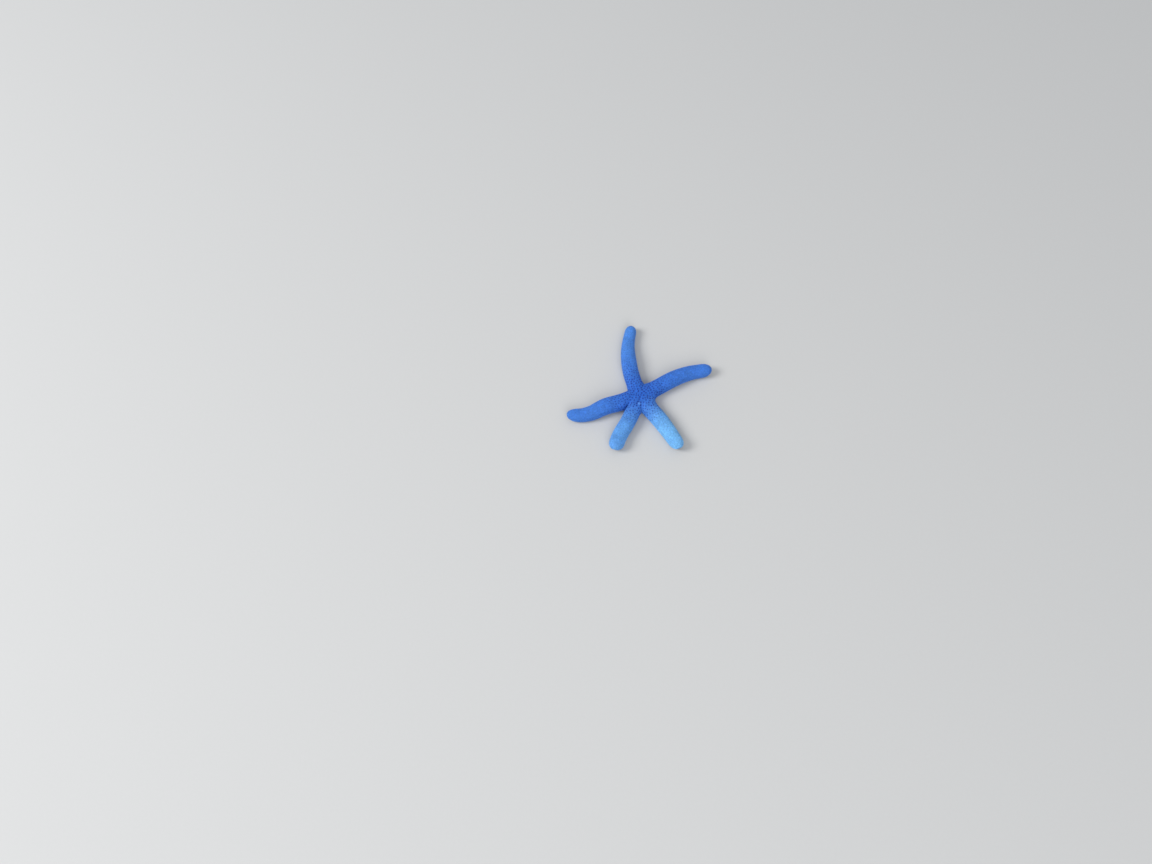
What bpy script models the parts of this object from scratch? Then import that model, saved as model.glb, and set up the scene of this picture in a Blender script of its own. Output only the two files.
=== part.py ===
"""A blue sea star with five rounded arms, life size, resting on a flat floor.

Metres, +Z up. The arms are named as they lie: right, far, left, near_left and near_right. The whole
surface comes from one rule, station by station along each arm, and each node is a stretch of it.
"""

import math
import random
from dataclasses import dataclass

import bmesh
import bpy
from mathutils import Matrix, Vector
from mathutils.bvhtree import BVHTree

MM = 0.001
GAP = 0.3 * MM  # between two nodes that touch
WELD = 0.005 * MM
SEED = 7

# The disc, and where its centre stands, so that the footprint's own centre is the origin.
DISC_CENTRE = Vector((-1.3 * MM, -17.8 * MM, 0.0))
DISC_HEIGHT = 20.2 * MM
DISC_REACH = 24.0 * MM  # from the centre to the ring of stations that the notches end
SHOULDER_SIDE = 8.0 * MM  # height of the widest line where two arms meet

# The arms' section: a round back, a flat sole and a groove along its middle.
HEIGHT_SHARE = 1.62  # height over half width
WIDEST_AT = 0.40  # height of the widest line over the height
ROUNDNESS = 2.2  # 2 is an ellipse, more is squarer
SOLE_SHARE = 0.60  # half width of the flat sole over the half width
FLANK_SHARES = (0.6, 0.9, 1.0)  # where the flank's points lie between the flat sole and the edge
TUCK_STARTS = 0.55  # share of the disc's reach where the flanks start to rise between two arms
TIP_ROUNDNESS = 2.15
TIP_CENTRE = 0.47  # height that the tip closes on, over the height
SLIMMING_FROM = 0.40  # share of the arm's length where it starts to slim

# Shares of the free arm over which it turns.
FIRST_TURN_ENDS = 0.45
SECOND_TURN_STARTS = 0.40
SECOND_TURN_ENDS = 0.90

# Shares of the arm's length between which its middle arches, and from which its tip lifts.
HUMP_STARTS = 0.28
HUMP_ENDS = 0.70
TIP_LIFTS_FROM = 0.78

GROOVE_HALF_WIDTH = 2.9 * MM
GROOVE_DEPTH = 5.0 * MM
GROOVE_LIP = 0.9 * MM
GROOVE_EDGE = 0.7 * MM  # height of the edge where the groove's wall meets its lip
GROOVE_SHOULDER = (0.75, 0.82)  # a point of its roof, over its half width and its depth
GROOVE_AT_TIP = 0.55  # groove's size at the tip over that at the disc
GROOVE_MOST = 0.78  # of the half width, where that is narrow
LIP_MOST = 0.88
MOUTH_RADIUS = 4.6 * MM
MOUTH_EDGE = 1.4 * MM

# Low knobs for the skin's plates, on every second column, staggered from station to station.
KNOB_HEIGHT = 0.4 * MM
KNOB_VARIES = 0.35
KNOBS_FROM = 0.3  # station on the disc

# Tube feet, in two rows along each groove.
FOOT_RADIUS = 0.72 * MM
FOOT_WAIST = 0.61 * MM
SUCKER_RADIUS = 1.05 * MM
SUCKER_HEIGHT = 0.6 * MM
SUCKER_NECK = 0.5 * MM
FOOT_CLEAR = 0.4 * MM  # between the sucker and the floor
FOOT_SUNK = 1.2 * MM  # of its root, in the roof of the groove
FOOT_ROW = 1.35 * MM  # from the groove's middle
FOOT_PITCH = 6.4 * MM
FOOT_PITCH_VARIES = 0.1
FOOT_AT_TIP = 0.75  # its size at the tip over that at the disc
FOOT_SIDES = 5
FOOT_MARGIN = 1.5 * MM  # between its middle and a cut
FEET_START = 9.0 * MM
FEET_STOP = 9.0 * MM  # from the arm's tip

BACK_COLUMNS = 12
STATIONS_PER_LENGTH = 8
TIP_CROWDING = 0.8
DISC_STATIONS = (0.42, 0.60, 0.78, 0.92, 1.0, 1.5)
LENGTHS = ("root", "middle", "tip")

SKIN_BLUE = (0.045, 0.195, 0.620, 1.0)
PLATE_BLUE = (0.060, 0.190, 0.520, 1.0)
SIEVE_BLUE = (0.300, 0.480, 0.760, 1.0)
EYE_RED = (0.450, 0.030, 0.020, 1.0)


@dataclass(frozen=True)
class Arm:
    """One arm. Angles are in degrees, counted left from +X. Lengths are in metres."""

    name: str
    heading: float  # where it leaves the disc
    first_turn: float
    second_turn: float
    cut: float  # from the disc's centre to the disc's cut face
    length: float  # from the disc's centre to the tip
    half_width: float
    tip_share: float  # half width near the tip over that at the root
    tip_reach: float  # length of the rounded tip over the half width there
    hump: float  # how high its middle arches off the floor
    tip_lift: float


ARMS = (
    Arm("right", 31, -3, -23, 27 * MM, 122.0 * MM, 12.2 * MM, 0.84, 1.45, 1.6 * MM, 2.5 * MM),
    Arm("far", 105.5, -12, -16, 27 * MM, 127.0 * MM, 12.1 * MM, 0.72, 1.15, 1.2 * MM, 2.0 * MM),
    Arm("left", 198, 8, -26, 29 * MM, 113.5 * MM, 12.6 * MM, 0.77, 1.80, 2.2 * MM, 2.5 * MM),
    Arm("near_left", 248, -9, 16, 30 * MM, 97.0 * MM, 11.6 * MM, 1.00, 1.25, 1.0 * MM, 2.0 * MM),
    Arm("near_right", 308, -5, -6, 30 * MM, 105.0 * MM, 12.4 * MM, 0.86, 1.40, 0.0 * MM, 4.0 * MM),
)

# Distance from the centre of the notch that follows each arm, counter-clockwise.
NOTCHES = (22.5 * MM, 19.5 * MM, 24.5 * MM, 26.0 * MM, 24.5 * MM)


@dataclass(frozen=True)
class Plate:
    """A low round plate that sits in a socket of the skin."""

    radius: float
    sunk: float
    proud: float
    sides: int


SIEVE_PLATE = Plate(2.0 * MM, 0.8 * MM, 0.6 * MM, 14)
END_PLATE = Plate(2.2 * MM, 0.8 * MM, 0.6 * MM, 12)
EYESPOT = Plate(0.8 * MM, 0.6 * MM, 0.4 * MM, 8)
CROWN = ((1.0, 0.2), (0.72, 0.75), (0.30, 1.0))  # its profile, over its radius and how proud it is

SIEVE_AFTER = 3  # it lies between this arm of ARMS and the next
SIEVE_TURN = -10  # degrees from the middle of the crease between them
SIEVE_AT = 16.4 * MM  # from the disc's centre
END_PLATE_AT = 0.56  # up the tip's end, over the arm's height
EYESPOT_AT = 0.26


def ease(x):
    """0 to 1 with level ends."""
    x = min(max(x, 0.0), 1.0)
    return x * x * (3 - 2 * x)


def mix(a, b, share):
    return a + (b - a) * share


def direction(angle):
    return Vector((math.cos(angle), math.sin(angle), 0))


def back_drop(x, roundness=ROUNDNESS):
    """Height of a rounded section at x of its half width, from 1 at its middle to 0 at its edge."""
    return max(1.0 - abs(x) ** roundness, 0.0) ** (1.0 / roundness)


def heading_at(arm, s):
    """The arm's heading in radians, at a distance s from the disc's centre along it."""
    free = (s - arm.cut) / (arm.length - arm.cut)
    first = ease(free / FIRST_TURN_ENDS)
    second = ease((free - SECOND_TURN_STARTS) / (SECOND_TURN_ENDS - SECOND_TURN_STARTS))
    return math.radians(arm.heading + arm.first_turn * first + arm.second_turn * second)


def axis_point(arm, s):
    """The point of the arm's middle line, on the floor."""
    steps = max(1, math.ceil(s / MM))
    point = DISC_CENTRE.copy()
    for k in range(steps):
        point += direction(heading_at(arm, (k + 0.5) * s / steps)) * (s / steps)
    return point


def half_width_at(arm, s):
    """The arm's half width, before its tip rounds off."""
    slim = ease((s / arm.length - SLIMMING_FROM) / (1 - SLIMMING_FROM))
    return arm.half_width * mix(1, arm.tip_share, slim)


def tip_scale(arm, s):
    """1 along the arm, falling to 0 at the end of its rounded tip."""
    reach = arm.half_width * arm.tip_share * arm.tip_reach
    return back_drop(max(0.0, (s - arm.length + reach) / reach), TIP_ROUNDNESS)


def lift_at(arm, s):
    """How far the sole is off the floor: 0 at the root and before the tip, where the arm rests."""
    along = s / arm.length
    arch = min(max((along - HUMP_STARTS) / (HUMP_ENDS - HUMP_STARTS), 0.0), 1.0)
    lift = ease((along - TIP_LIFTS_FROM) / (1 - TIP_LIFTS_FROM))
    return arm.hump * math.sin(math.pi * arch) ** 2 + arm.tip_lift * lift


def notch(index, side):
    """Where the notch beside arm index is, as distances along its heading and across it."""
    neighbour = (index + side) % len(ARMS)
    reach = NOTCHES[index if side > 0 else neighbour]
    between = (ARMS[neighbour].heading - ARMS[index].heading) * side % 360 / 2
    return reach * math.cos(math.radians(between)), reach * math.sin(math.radians(between))


def station_at(arm, s):
    """The station at a distance s: 0 at the centre, 1 at the disc's reach, 2 at the cut, 3 at the tip."""
    if s < DISC_REACH:
        return s / DISC_REACH
    if s < arm.cut:
        return 1 + (s - DISC_REACH) / (arm.cut - DISC_REACH)
    return 2 + (s - arm.cut) / (arm.length - arm.cut)


class Section:
    """The body across one arm at one station."""

    def __init__(self, index, station):
        self.index = index
        self.arm = arm = ARMS[index]
        self.inner = min(station, 1.0)
        self.shoulder = min(max(station - 1.0, 0.0), 1.0)
        self.free = station >= 2
        if self.free:
            self.s = mix(arm.cut, arm.length, station - 2)
        else:
            self.s = mix(self.inner * DISC_REACH, arm.cut, self.shoulder)
        self.width = half_width_at(arm, self.s)
        self.height = HEIGHT_SHARE * self.width
        self.side_height = mix(SHOULDER_SIDE, WIDEST_AT * self.height, self.shoulder)
        self.scale = tip_scale(arm, self.s)
        self.lift = lift_at(arm, self.s)
        slender = mix(1, GROOVE_AT_TIP, max(0, self.s - arm.cut) / (arm.length - arm.cut))
        self.groove = GROOVE_HALF_WIDTH * slender
        self.roof = GROOVE_DEPTH * slender
        self.start = axis_point(arm, self.s) if self.free else DISC_CENTRE
        self.forward = direction(heading_at(arm, self.s))
        self.left = Vector((-self.forward.y, self.forward.x, 0))

    def edge(self, side):
        """Half width on one side, and how far out along the heading that edge is."""
        if self.free:
            return self.width, self.s
        along, across = notch(self.index, side)
        if self.inner < 1:
            return across * self.inner, along * self.inner
        flare = (1 - self.shoulder) ** 2
        return mix(self.width, across, flare), mix(along, self.arm.cut, self.shoulder)

    def place(self, across, height):
        """The point at a distance across the arm, left positive, and a height over its sole."""
        half, out = self.edge(1 if across > 0 else -1)
        share = min(abs(across) / half, 1.0) if half else 0.0
        along = 0.0 if self.free else mix(self.s, out, share * share)
        centre = TIP_CENTRE * self.height
        height = mix(centre, height, self.scale) + self.lift
        return self.start + self.forward * along + self.left * across * self.scale + Vector((0, 0, height))

    def back(self, turn, knob):
        """A point of the back. turn runs from -1 at the right edge over the top to 1 at the left."""
        share = math.sin(turn * math.pi / 2)
        level = mix(math.sin(share * math.pi / 2), share, ease(self.inner) ** 2)
        fall = back_drop(self.inner * level)
        crown = mix(DISC_HEIGHT, self.height, ease(self.inner))
        crown = mix(crown, DISC_HEIGHT, share * share * (1 - self.shoulder))
        across = share * self.edge(1 if share > 0 else -1)[0]
        height = mix(self.side_height, crown, fall)
        outward = Vector((across, height - self.side_height / 2)).normalized() * knob
        return self.place(across + outward.x, height + outward.y)

    def sole_half(self, side):
        """Points of the underside from the groove's middle out to the edge, as (across, height)."""
        half = self.edge(side)[0]
        groove = min(self.groove, GROOVE_MOST * half)
        lip = min(groove + GROOVE_LIP, LIP_MOST * half)
        flat = max(SOLE_SHARE * half, lip)
        points = [
            (0, self.roof),
            (GROOVE_SHOULDER[0] * groove, GROOVE_SHOULDER[1] * self.roof),
            (groove, GROOVE_EDGE),
            (lip, 0),
            (flat, 0),
        ]
        tuck = ease((self.inner - TUCK_STARTS) / (1 - TUCK_STARTS))
        for share in FLANK_SHARES:
            points.append((mix(flat, half, share), self.side_height * (1 - back_drop(share * tuck))))
        open_mouth = 1 - ease((self.inner * DISC_REACH - MOUTH_RADIUS) / MOUTH_EDGE)
        return [(side * x, mix(z, self.roof, open_mouth)) for x, z in points]

    def underside(self):
        """Points of the underside from the right edge to the left."""
        line = self.sole_half(-1)[::-1] + self.sole_half(1)[1:]
        return [self.place(x, z) for x, z in line]


def back_line(section, knobs):
    """Points of the back from the left edge over the top to the right, with this station's knobs."""
    turns = [1 - 2 * k / BACK_COLUMNS for k in range(BACK_COLUMNS + 1)]
    return [section.back(turn, knob) for turn, knob in zip(turns, knobs)]


def knobs_for(row, rng, plain):
    """Knob heights over one station."""
    heights = []
    for column in range(BACK_COLUMNS + 1):
        drawn = KNOB_HEIGHT * rng.uniform(1 - KNOB_VARIES, 1 + KNOB_VARIES)
        here = column % 2 == 1 and (row + column // 2) % 2 == 0 and not plain
        heights.append(drawn if here else 0.0)
    return heights


def add_strip(bm, line, next_line):
    """Quads between two lines of vertices, or triangles where a side has shrunk to a point."""
    for k in range(len(line) - 1):
        corners = [line[k], line[k + 1], next_line[k + 1], next_line[k]]
        if len({corner.co.copy().freeze() for corner in corners}) > 2:
            bm.faces.new(corners)


def object_from(bm, name, material):
    """A closed object, its seams welded and its faces turned outwards."""
    bmesh.ops.remove_doubles(bm, verts=bm.verts, dist=WELD)
    bmesh.ops.dissolve_degenerate(bm, dist=WELD, edges=bm.edges)
    bmesh.ops.recalc_face_normals(bm, faces=bm.faces)
    mesh = bpy.data.meshes.new(name)
    bm.to_mesh(mesh)
    bm.free()
    obj = bpy.data.objects.new(name, mesh)
    bpy.context.scene.collection.objects.link(obj)
    mesh.materials.append(material)
    return obj


def add_cap(bm, section):
    """The flat cut face that closes a stretch at one station."""
    back = back_line(section, [0.0] * (BACK_COLUMNS + 1))
    ring = back[:-1] + section.underside()[:-1]
    bm.faces.new([bm.verts.new(point) for point in ring])


def add_stretch(bm, index, stations, rng, plain_rows):
    """The surface of one arm's sector over a run of stations."""
    lines = []
    for row, station in enumerate(stations):
        section = Section(index, station)
        plain = row in plain_rows or station < KNOBS_FROM
        back = [bm.verts.new(point) for point in back_line(section, knobs_for(row, rng, plain))]
        under = [bm.verts.new(point) for point in section.underside()]
        lines.append((back, under))
    for line, next_line in zip(lines, lines[1:]):
        add_strip(bm, line[0], next_line[0])
        add_strip(bm, line[1], next_line[1])


def make_disc(material, rng):
    """The disc with its mouth below and a short stub for each arm."""
    mouth = [(MOUTH_RADIUS + share * MOUTH_EDGE) / DISC_REACH for share in (0, 0.5, 1)]
    bm = bmesh.new()
    for index, arm in enumerate(ARMS):
        last = 2 - GAP / 2 / (arm.cut - DISC_REACH)
        stations = [0.0, *mouth, *DISC_STATIONS, last]
        add_stretch(bm, index, stations, rng, (len(stations) - 1,))
        add_cap(bm, Section(index, last))
    return object_from(bm, "disc", material)


def make_length(index, part, material, rng):
    """One of an arm's lengths, between two flat cut faces, or from one up to the tip."""
    arm = ARMS[index]
    half_gap = GAP / 2 / (arm.length - arm.cut)
    start = 2 + part / len(LENGTHS) + half_gap
    end = 2 + (part + 1) / len(LENGTHS) - half_gap
    shares = [k / STATIONS_PER_LENGTH for k in range(STATIONS_PER_LENGTH + 1)]
    last = part == len(LENGTHS) - 1
    if last:
        end = 3
        shares = [math.sin(share * math.pi / 2) ** TIP_CROWDING for share in shares]
    stations = [mix(start, end, share) for share in shares]
    bm = bmesh.new()
    add_stretch(bm, index, stations, rng, (0, len(stations) - 1))
    add_cap(bm, Section(index, start))
    if not last:
        add_cap(bm, Section(index, end))
    return object_from(bm, f"arm_{arm.name}_{LENGTHS[part]}", material)


def round_piece(name, rings, material):
    """A closed piece from rings of points, with a flat face at each end."""
    bm = bmesh.new()
    lines = [[bm.verts.new(point) for point in ring] for ring in rings]
    bm.faces.new(lines[0])
    bm.faces.new(lines[-1])
    for line, next_line in zip(lines, lines[1:]):
        add_strip(bm, line + line[:1], next_line + next_line[:1])
    return object_from(bm, name, material)


def tube_foot(section, side, rng, material):
    """One tube foot: a column out of the groove's roof that ends in a flared sucker."""
    slender = section.groove / GROOVE_HALF_WIDTH
    size = mix(FOOT_AT_TIP, 1.0, (slender - GROOVE_AT_TIP) / (1 - GROOVE_AT_TIP))
    across = side * FOOT_ROW * slender
    neck = FOOT_CLEAR + SUCKER_HEIGHT
    profile = (
        (section.roof + FOOT_SUNK, FOOT_RADIUS),
        (neck + SUCKER_NECK, FOOT_WAIST),
        (neck, SUCKER_RADIUS),
        (FOOT_CLEAR, SUCKER_RADIUS),
    )
    first = rng.uniform(0, math.tau)
    rings = []
    for height, radius in profile:
        centre = section.place(across, height)
        angles = [first + k / FOOT_SIDES * math.tau for k in range(FOOT_SIDES)]
        rings.append([centre + direction(angle) * radius * size for angle in angles])
    return round_piece("foot", rings, material)


def keep_largest_body(obj):
    """Drops any loose scrap, so that the node is one closed surface."""
    bm = bmesh.new()
    bm.from_mesh(obj.data)
    left = set(bm.verts)
    bodies = []
    while left:
        body = set()
        found = [left.pop()]
        while found:
            vert = found.pop()
            body.add(vert)
            for edge in vert.link_edges:
                other = edge.other_vert(vert)
                if other in left:
                    left.discard(other)
                    found.append(other)
        bodies.append(body)
    bodies.sort(key=len)
    scraps = [vert for body in bodies[:-1] for vert in body]
    bmesh.ops.delete(bm, geom=scraps, context="VERTS")
    bm.to_mesh(obj.data)
    bm.free()


def join_or_cut(obj, pieces, operation):
    """Applies one Boolean of a collection of closed pieces, then removes them."""
    group = bpy.data.collections.new("pieces")
    bpy.context.scene.collection.children.link(group)
    for piece in pieces:
        bpy.context.scene.collection.objects.unlink(piece)
        group.objects.link(piece)
    modifier = obj.modifiers.new("pieces", "BOOLEAN")
    modifier.operation = operation
    modifier.operand_type = "COLLECTION"
    modifier.collection = group
    modifier.solver = "EXACT"
    graph = bpy.context.evaluated_depsgraph_get()
    graph.update()
    old = obj.data
    result = bpy.data.meshes.new_from_object(obj.evaluated_get(graph), depsgraph=graph)
    obj.modifiers.remove(modifier)
    obj.data = result
    bpy.data.meshes.remove(old)
    for piece in pieces:
        bpy.data.objects.remove(piece)
    bpy.data.collections.remove(group)
    keep_largest_body(obj)


def host_of(arm, s):
    """The name of the node whose groove holds a foot at s, or None where a cut is too near."""
    if s < arm.cut:
        return "disc" if arm.cut - s > FOOT_MARGIN else None
    run = (arm.length - arm.cut) / len(LENGTHS)
    part = int((s - arm.cut) / run)
    past_cut = s - arm.cut - part * run
    before_cut = run - past_cut
    last = part == len(LENGTHS) - 1
    if past_cut < FOOT_MARGIN or (before_cut < FOOT_MARGIN and not last):
        return None
    return f"arm_{arm.name}_{LENGTHS[part]}"


def add_tube_feet(hosts, material, rng):
    """Two staggered rows of tube feet in every groove, each fused to the node above it."""
    feet = {name: [] for name in hosts}
    for index, arm in enumerate(ARMS):
        for side in (-1, 1):
            s = FEET_START + (FOOT_PITCH / 2 if side > 0 else 0)
            while s < arm.length - FEET_STOP:
                host = host_of(arm, s)
                if host:
                    section = Section(index, station_at(arm, s))
                    feet[host].append(tube_foot(section, side, rng, material))
                s += FOOT_PITCH * rng.uniform(1 - FOOT_PITCH_VARIES, 1 + FOOT_PITCH_VARIES)
    for name, pieces in feet.items():
        if pieces:
            join_or_cut(hosts[name], pieces, "UNION")


def seat_plate(host, name, plate, point, towards, material):
    """A plate in a socket of the host, where a ray from a point outside first meets it."""
    bm = bmesh.new()
    bm.from_mesh(host.data)
    hit, normal, _, _ = BVHTree.FromBMesh(bm).ray_cast(point, towards)
    bm.free()
    axis = (normal - towards).normalized()
    place = Matrix.Translation(hit) @ axis.to_track_quat("Z", "Y").to_matrix().to_4x4()
    angles = [k / plate.sides * math.tau for k in range(plate.sides)]

    def rings(profile):
        return [[place @ (direction(a) * r + Vector((0, 0, z))) for a in angles] for r, z in profile]

    hole = plate.radius + GAP
    socket = ((hole, -plate.sunk - GAP), (hole, 4 * plate.sunk))
    join_or_cut(host, [round_piece("socket", rings(socket), material)], "DIFFERENCE")
    crown = [(plate.radius * across, plate.proud * up) for across, up in CROWN]
    return round_piece(name, rings([(plate.radius, -plate.sunk), *crown]), material)


def add_sieve_plate(hosts):
    """The sieve plate, beside the crease between two arms near the disc's centre."""
    blue = make_material("madreporite", SIEVE_BLUE, 0.6)
    crease = (ARMS[SIEVE_AFTER].heading + ARMS[SIEVE_AFTER + 1].heading) / 2
    angle = math.radians(crease + SIEVE_TURN)
    above = DISC_CENTRE + direction(angle) * SIEVE_AT + Vector((0, 0, 2 * DISC_HEIGHT))
    seat_plate(hosts["disc"], "madreporite", SIEVE_PLATE, above, Vector((0, 0, -1)), blue)


def add_tip_plates(hosts):
    """The end plate of each arm, and its eyespot in the end of the groove below."""
    blue = make_material("terminal_plate", PLATE_BLUE, 0.5)
    red = make_material("eyespot", EYE_RED, 0.35)
    for arm in ARMS:
        host = hosts[f"arm_{arm.name}_tip"]
        forward = direction(heading_at(arm, arm.length))
        tip = axis_point(arm, arm.length) + forward * 10 * MM
        tall = HEIGHT_SHARE * half_width_at(arm, arm.length)
        sole = lift_at(arm, arm.length)
        high = tip + Vector((0, 0, sole + END_PLATE_AT * tall))
        low = tip + Vector((0, 0, sole + EYESPOT_AT * tall))
        seat_plate(host, f"terminal_plate_{arm.name}", END_PLATE, high, -forward, blue)
        seat_plate(host, f"eyespot_{arm.name}", EYESPOT, low, -forward, red)


def make_material(name, colour, roughness):
    material = bpy.data.materials.new(name)
    material.use_nodes = True
    shader = material.node_tree.nodes["Principled BSDF"]
    shader.inputs["Base Color"].default_value = colour
    shader.inputs["Roughness"].default_value = roughness
    material.diffuse_color = colour
    return material


def main():
    for obj in list(bpy.data.objects):
        bpy.data.objects.remove(obj)
    rng = random.Random(SEED)
    blue = make_material("blue_skin", SKIN_BLUE, 0.55)
    hosts = {"disc": make_disc(blue, rng)}
    for index in range(len(ARMS)):
        for part in range(len(LENGTHS)):
            obj = make_length(index, part, blue, rng)
            hosts[obj.name] = obj
    add_tube_feet(hosts, blue, rng)
    add_sieve_plate(hosts)
    add_tip_plates(hosts)
    for obj in bpy.context.scene.objects:
        obj.data.shade_smooth()
        obj.data.set_sharp_from_angle(angle=math.radians(55))


main()
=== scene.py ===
"""The looks of a blue sea star, life size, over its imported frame.

The skin follows the same rule as the solids, station by station along each arm, with many more
stations. Granules and soft pore papulae grow on it, and tube feet and spines line its grooves.
"""

import math
import random
from dataclasses import dataclass

import bmesh
import bpy
import numpy as np
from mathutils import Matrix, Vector, kdtree, noise


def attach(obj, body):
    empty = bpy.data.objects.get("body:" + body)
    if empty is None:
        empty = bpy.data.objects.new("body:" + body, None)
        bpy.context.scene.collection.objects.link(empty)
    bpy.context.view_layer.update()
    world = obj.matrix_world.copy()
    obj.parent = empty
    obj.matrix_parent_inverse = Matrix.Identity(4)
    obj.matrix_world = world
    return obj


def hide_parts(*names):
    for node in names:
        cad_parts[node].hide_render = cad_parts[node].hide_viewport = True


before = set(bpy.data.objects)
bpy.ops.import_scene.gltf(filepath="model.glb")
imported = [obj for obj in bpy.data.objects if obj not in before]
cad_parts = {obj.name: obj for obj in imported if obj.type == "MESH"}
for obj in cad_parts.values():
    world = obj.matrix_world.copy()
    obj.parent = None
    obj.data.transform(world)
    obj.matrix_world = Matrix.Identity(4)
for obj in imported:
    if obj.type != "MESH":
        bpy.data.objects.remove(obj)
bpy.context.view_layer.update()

bl_info = {
    "name": "Blue Sea Star",
    "version": (1, 0, 0),
    "blender": (4, 5, 0),
    "location": "3D View > Sidebar > Sea Star",
    "description": "Skin, granules, pores, tube feet and plates of a blue sea star",
    "category": "Object",
}

MM = 0.001
SEED = 7
BODY = "root"

# The body's rule, as the solids have it.
DISC_CENTRE = Vector((-1.3 * MM, -17.8 * MM, 0.0))
DISC_HEIGHT = 20.2 * MM
DISC_REACH = 24.0 * MM
SHOULDER_SIDE = 8.0 * MM

HEIGHT_SHARE = 1.62
WIDEST_AT = 0.40
ROUNDNESS = 2.2
SOLE_SHARE = 0.60
TUCK_STARTS = 0.55
TIP_ROUNDNESS = 2.15
TIP_CENTRE = 0.47
SLIMMING_FROM = 0.40

FIRST_TURN_ENDS = 0.45
SECOND_TURN_STARTS = 0.40
SECOND_TURN_ENDS = 0.90
HUMP_STARTS = 0.28
HUMP_ENDS = 0.70
TIP_LIFTS_FROM = 0.78

GROOVE_HALF_WIDTH = 2.9 * MM
GROOVE_DEPTH = 5.0 * MM
GROOVE_LIP = 0.9 * MM
GROOVE_EDGE = 0.7 * MM
GROOVE_ROUNDNESS = 2.6
GROOVE_AT_TIP = 0.55
GROOVE_MOST = 0.78
LIP_MOST = 0.88
MOUTH_RADIUS = 4.6 * MM
MOUTH_EDGE = 1.4 * MM


@dataclass(frozen=True)
class Arm:
    """One arm. Angles are in degrees, counted left from +X. Lengths are in metres."""

    name: str
    heading: float
    first_turn: float
    second_turn: float
    cut: float  # from the disc's centre to where the arm is free
    length: float  # from the disc's centre to the tip
    half_width: float
    tip_share: float  # half width near the tip over that at the root
    tip_reach: float  # length of the rounded tip over the half width there
    hump: float
    tip_lift: float
    paleness_and_light: float  # how far its end fades to pale blue: partly the arm's own colour, partly painted light on the arms lit most


ARMS = (
    Arm("right", 31, -3, -23, 27 * MM, 122.0 * MM, 12.2 * MM, 0.84, 1.45, 1.6 * MM, 2.5 * MM, 0.10),
    Arm("far", 105.5, -12, -16, 27 * MM, 127.0 * MM, 12.1 * MM, 0.72, 1.15, 1.2 * MM, 2.0 * MM, 0.25),
    Arm("left", 198, 8, -26, 29 * MM, 113.5 * MM, 12.6 * MM, 0.77, 1.80, 2.2 * MM, 2.5 * MM, 0.15),
    Arm("near_left", 248, -9, 16, 30 * MM, 97.0 * MM, 11.6 * MM, 1.00, 1.25, 1.0 * MM, 2.0 * MM, 0.60),
    Arm("near_right", 308, -5, -6, 30 * MM, 105.0 * MM, 12.4 * MM, 0.86, 1.40, 0.0 * MM, 4.0 * MM, 1.0),
)
DISC = len(ARMS)  # its number after the arms'
LENGTHS = ("root", "middle", "tip")
NOTCHES = (22.5 * MM, 19.5 * MM, 24.5 * MM, 26.0 * MM, 24.5 * MM)

# How finely the skin is made.
BACK_COLUMNS = 54
ROOF_COLUMNS = 7
LIP_COLUMNS = 3
SOLE_COLUMNS = 4
FLANK_COLUMNS = 8
DISC_ROWS = 34
SHOULDER_ROWS = 6
ROW_SPACING = 0.82 * MM
TIP_ROWS = 24
WELD = 0.005 * MM
SKIN_CLEAR = 0.1 * MM  # least height of the skin off the floor
FLOOR_CLEAR = 0.03 * MM  # and of what grows on it

# The unwrap: one strip to an arm, slit along the middle of its groove, in cells of two by three.
CHART_COLUMNS = 2
CHART_ROWS = 3
CHART_MARGIN = 0.008
CHART_PER_METRE = 3.75
CHART_EDGE = 0.06  # where in its cell an arm's groove edge lies
PATCH = 0.003  # width of one granule on the unwrap

# Plates under the skin, and how far their middles keep from each other, from seams and from pores.
PLATE_SPACING = 3.3 * MM
PLATE_RISE = 0.20 * MM
PLATE_SEAM = 0.55 * MM  # half width of the dip between two plates
PLATE_CLEAR_OF_PORE = 1.5 * MM
MARGIN_TURN = 0.87  # where the upper marginal plates lie, in a half turn of the back
MARGIN_SHARE = 0.72  # where the lower ones lie, between the flat sole and the edge
MARGIN_PITCH = 3.6 * MM
SOLE_PITCH = 2.3 * MM
SOLE_ROWS = (0.12, 0.85)  # where the sole's two rows lie, between the groove's lip and the edge
SITE_TRIES = 16000

# Pore areas between the plates, and the vent near the middle of the back.
PORE_SPACING = 3.4 * MM
PORE_RADIUS = 1.0 * MM
PORE_RADIUS_AT_TIP = 0.6
PORE_DEPTH = 0.28 * MM
PORES_START = 3.0 * MM  # from the disc's centre
VENT_AT = 4.6 * MM  # from the disc's centre, towards the far arm
VENT_RADIUS = 0.9 * MM
VENT_DEPTH = 0.6 * MM

# Cross ridges of the groove's roof, and the low collars that small plates sit in.
RIDGE_PITCH = 1.9 * MM
RIDGE_RISE = 0.12 * MM
SEAT_RISE = 0.10 * MM
SEAT_RIM = 0.6 * MM

# Shares of an arm's length over which it fades to its pale end, which is partly the arm's own colour and partly
# painted light.
PALE_FROM = 0.05
PALE_BY = 0.72

# How round the tip is, from 0 along the arm to 1 at its end, where its groove closes
# and where the skin turns towards the middle of the tip.
GROOVE_CLOSES = (0.55, 0.80)
TIP_TURNS = (0.05, 0.50)

# The coat.
COAT_DENSITY = 3e7  # tries for each square metre
GRANULE_FILL = 0.65  # radius over spacing
SOLE_GRANULE_FILL = 0.71
PAPULA_FILL = 0.48

# Tube feet, in two rows along each groove.
PATH_STEP = 1.0 * MM
FOOT_ROW = 1.35 * MM  # from the groove's middle
FOOT_SUNK = 0.4 * MM
FOOT_CLEAR = 0.3 * MM  # between the longest feet and the floor
FOOT_VARIES = 0.12
FOOT_SPLAY = 0.04
FOOT_MOST = 6.0 * MM
FEET_START = 8.0 * MM
FEET_STOP = 6.5 * MM  # from the arm's tip

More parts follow.
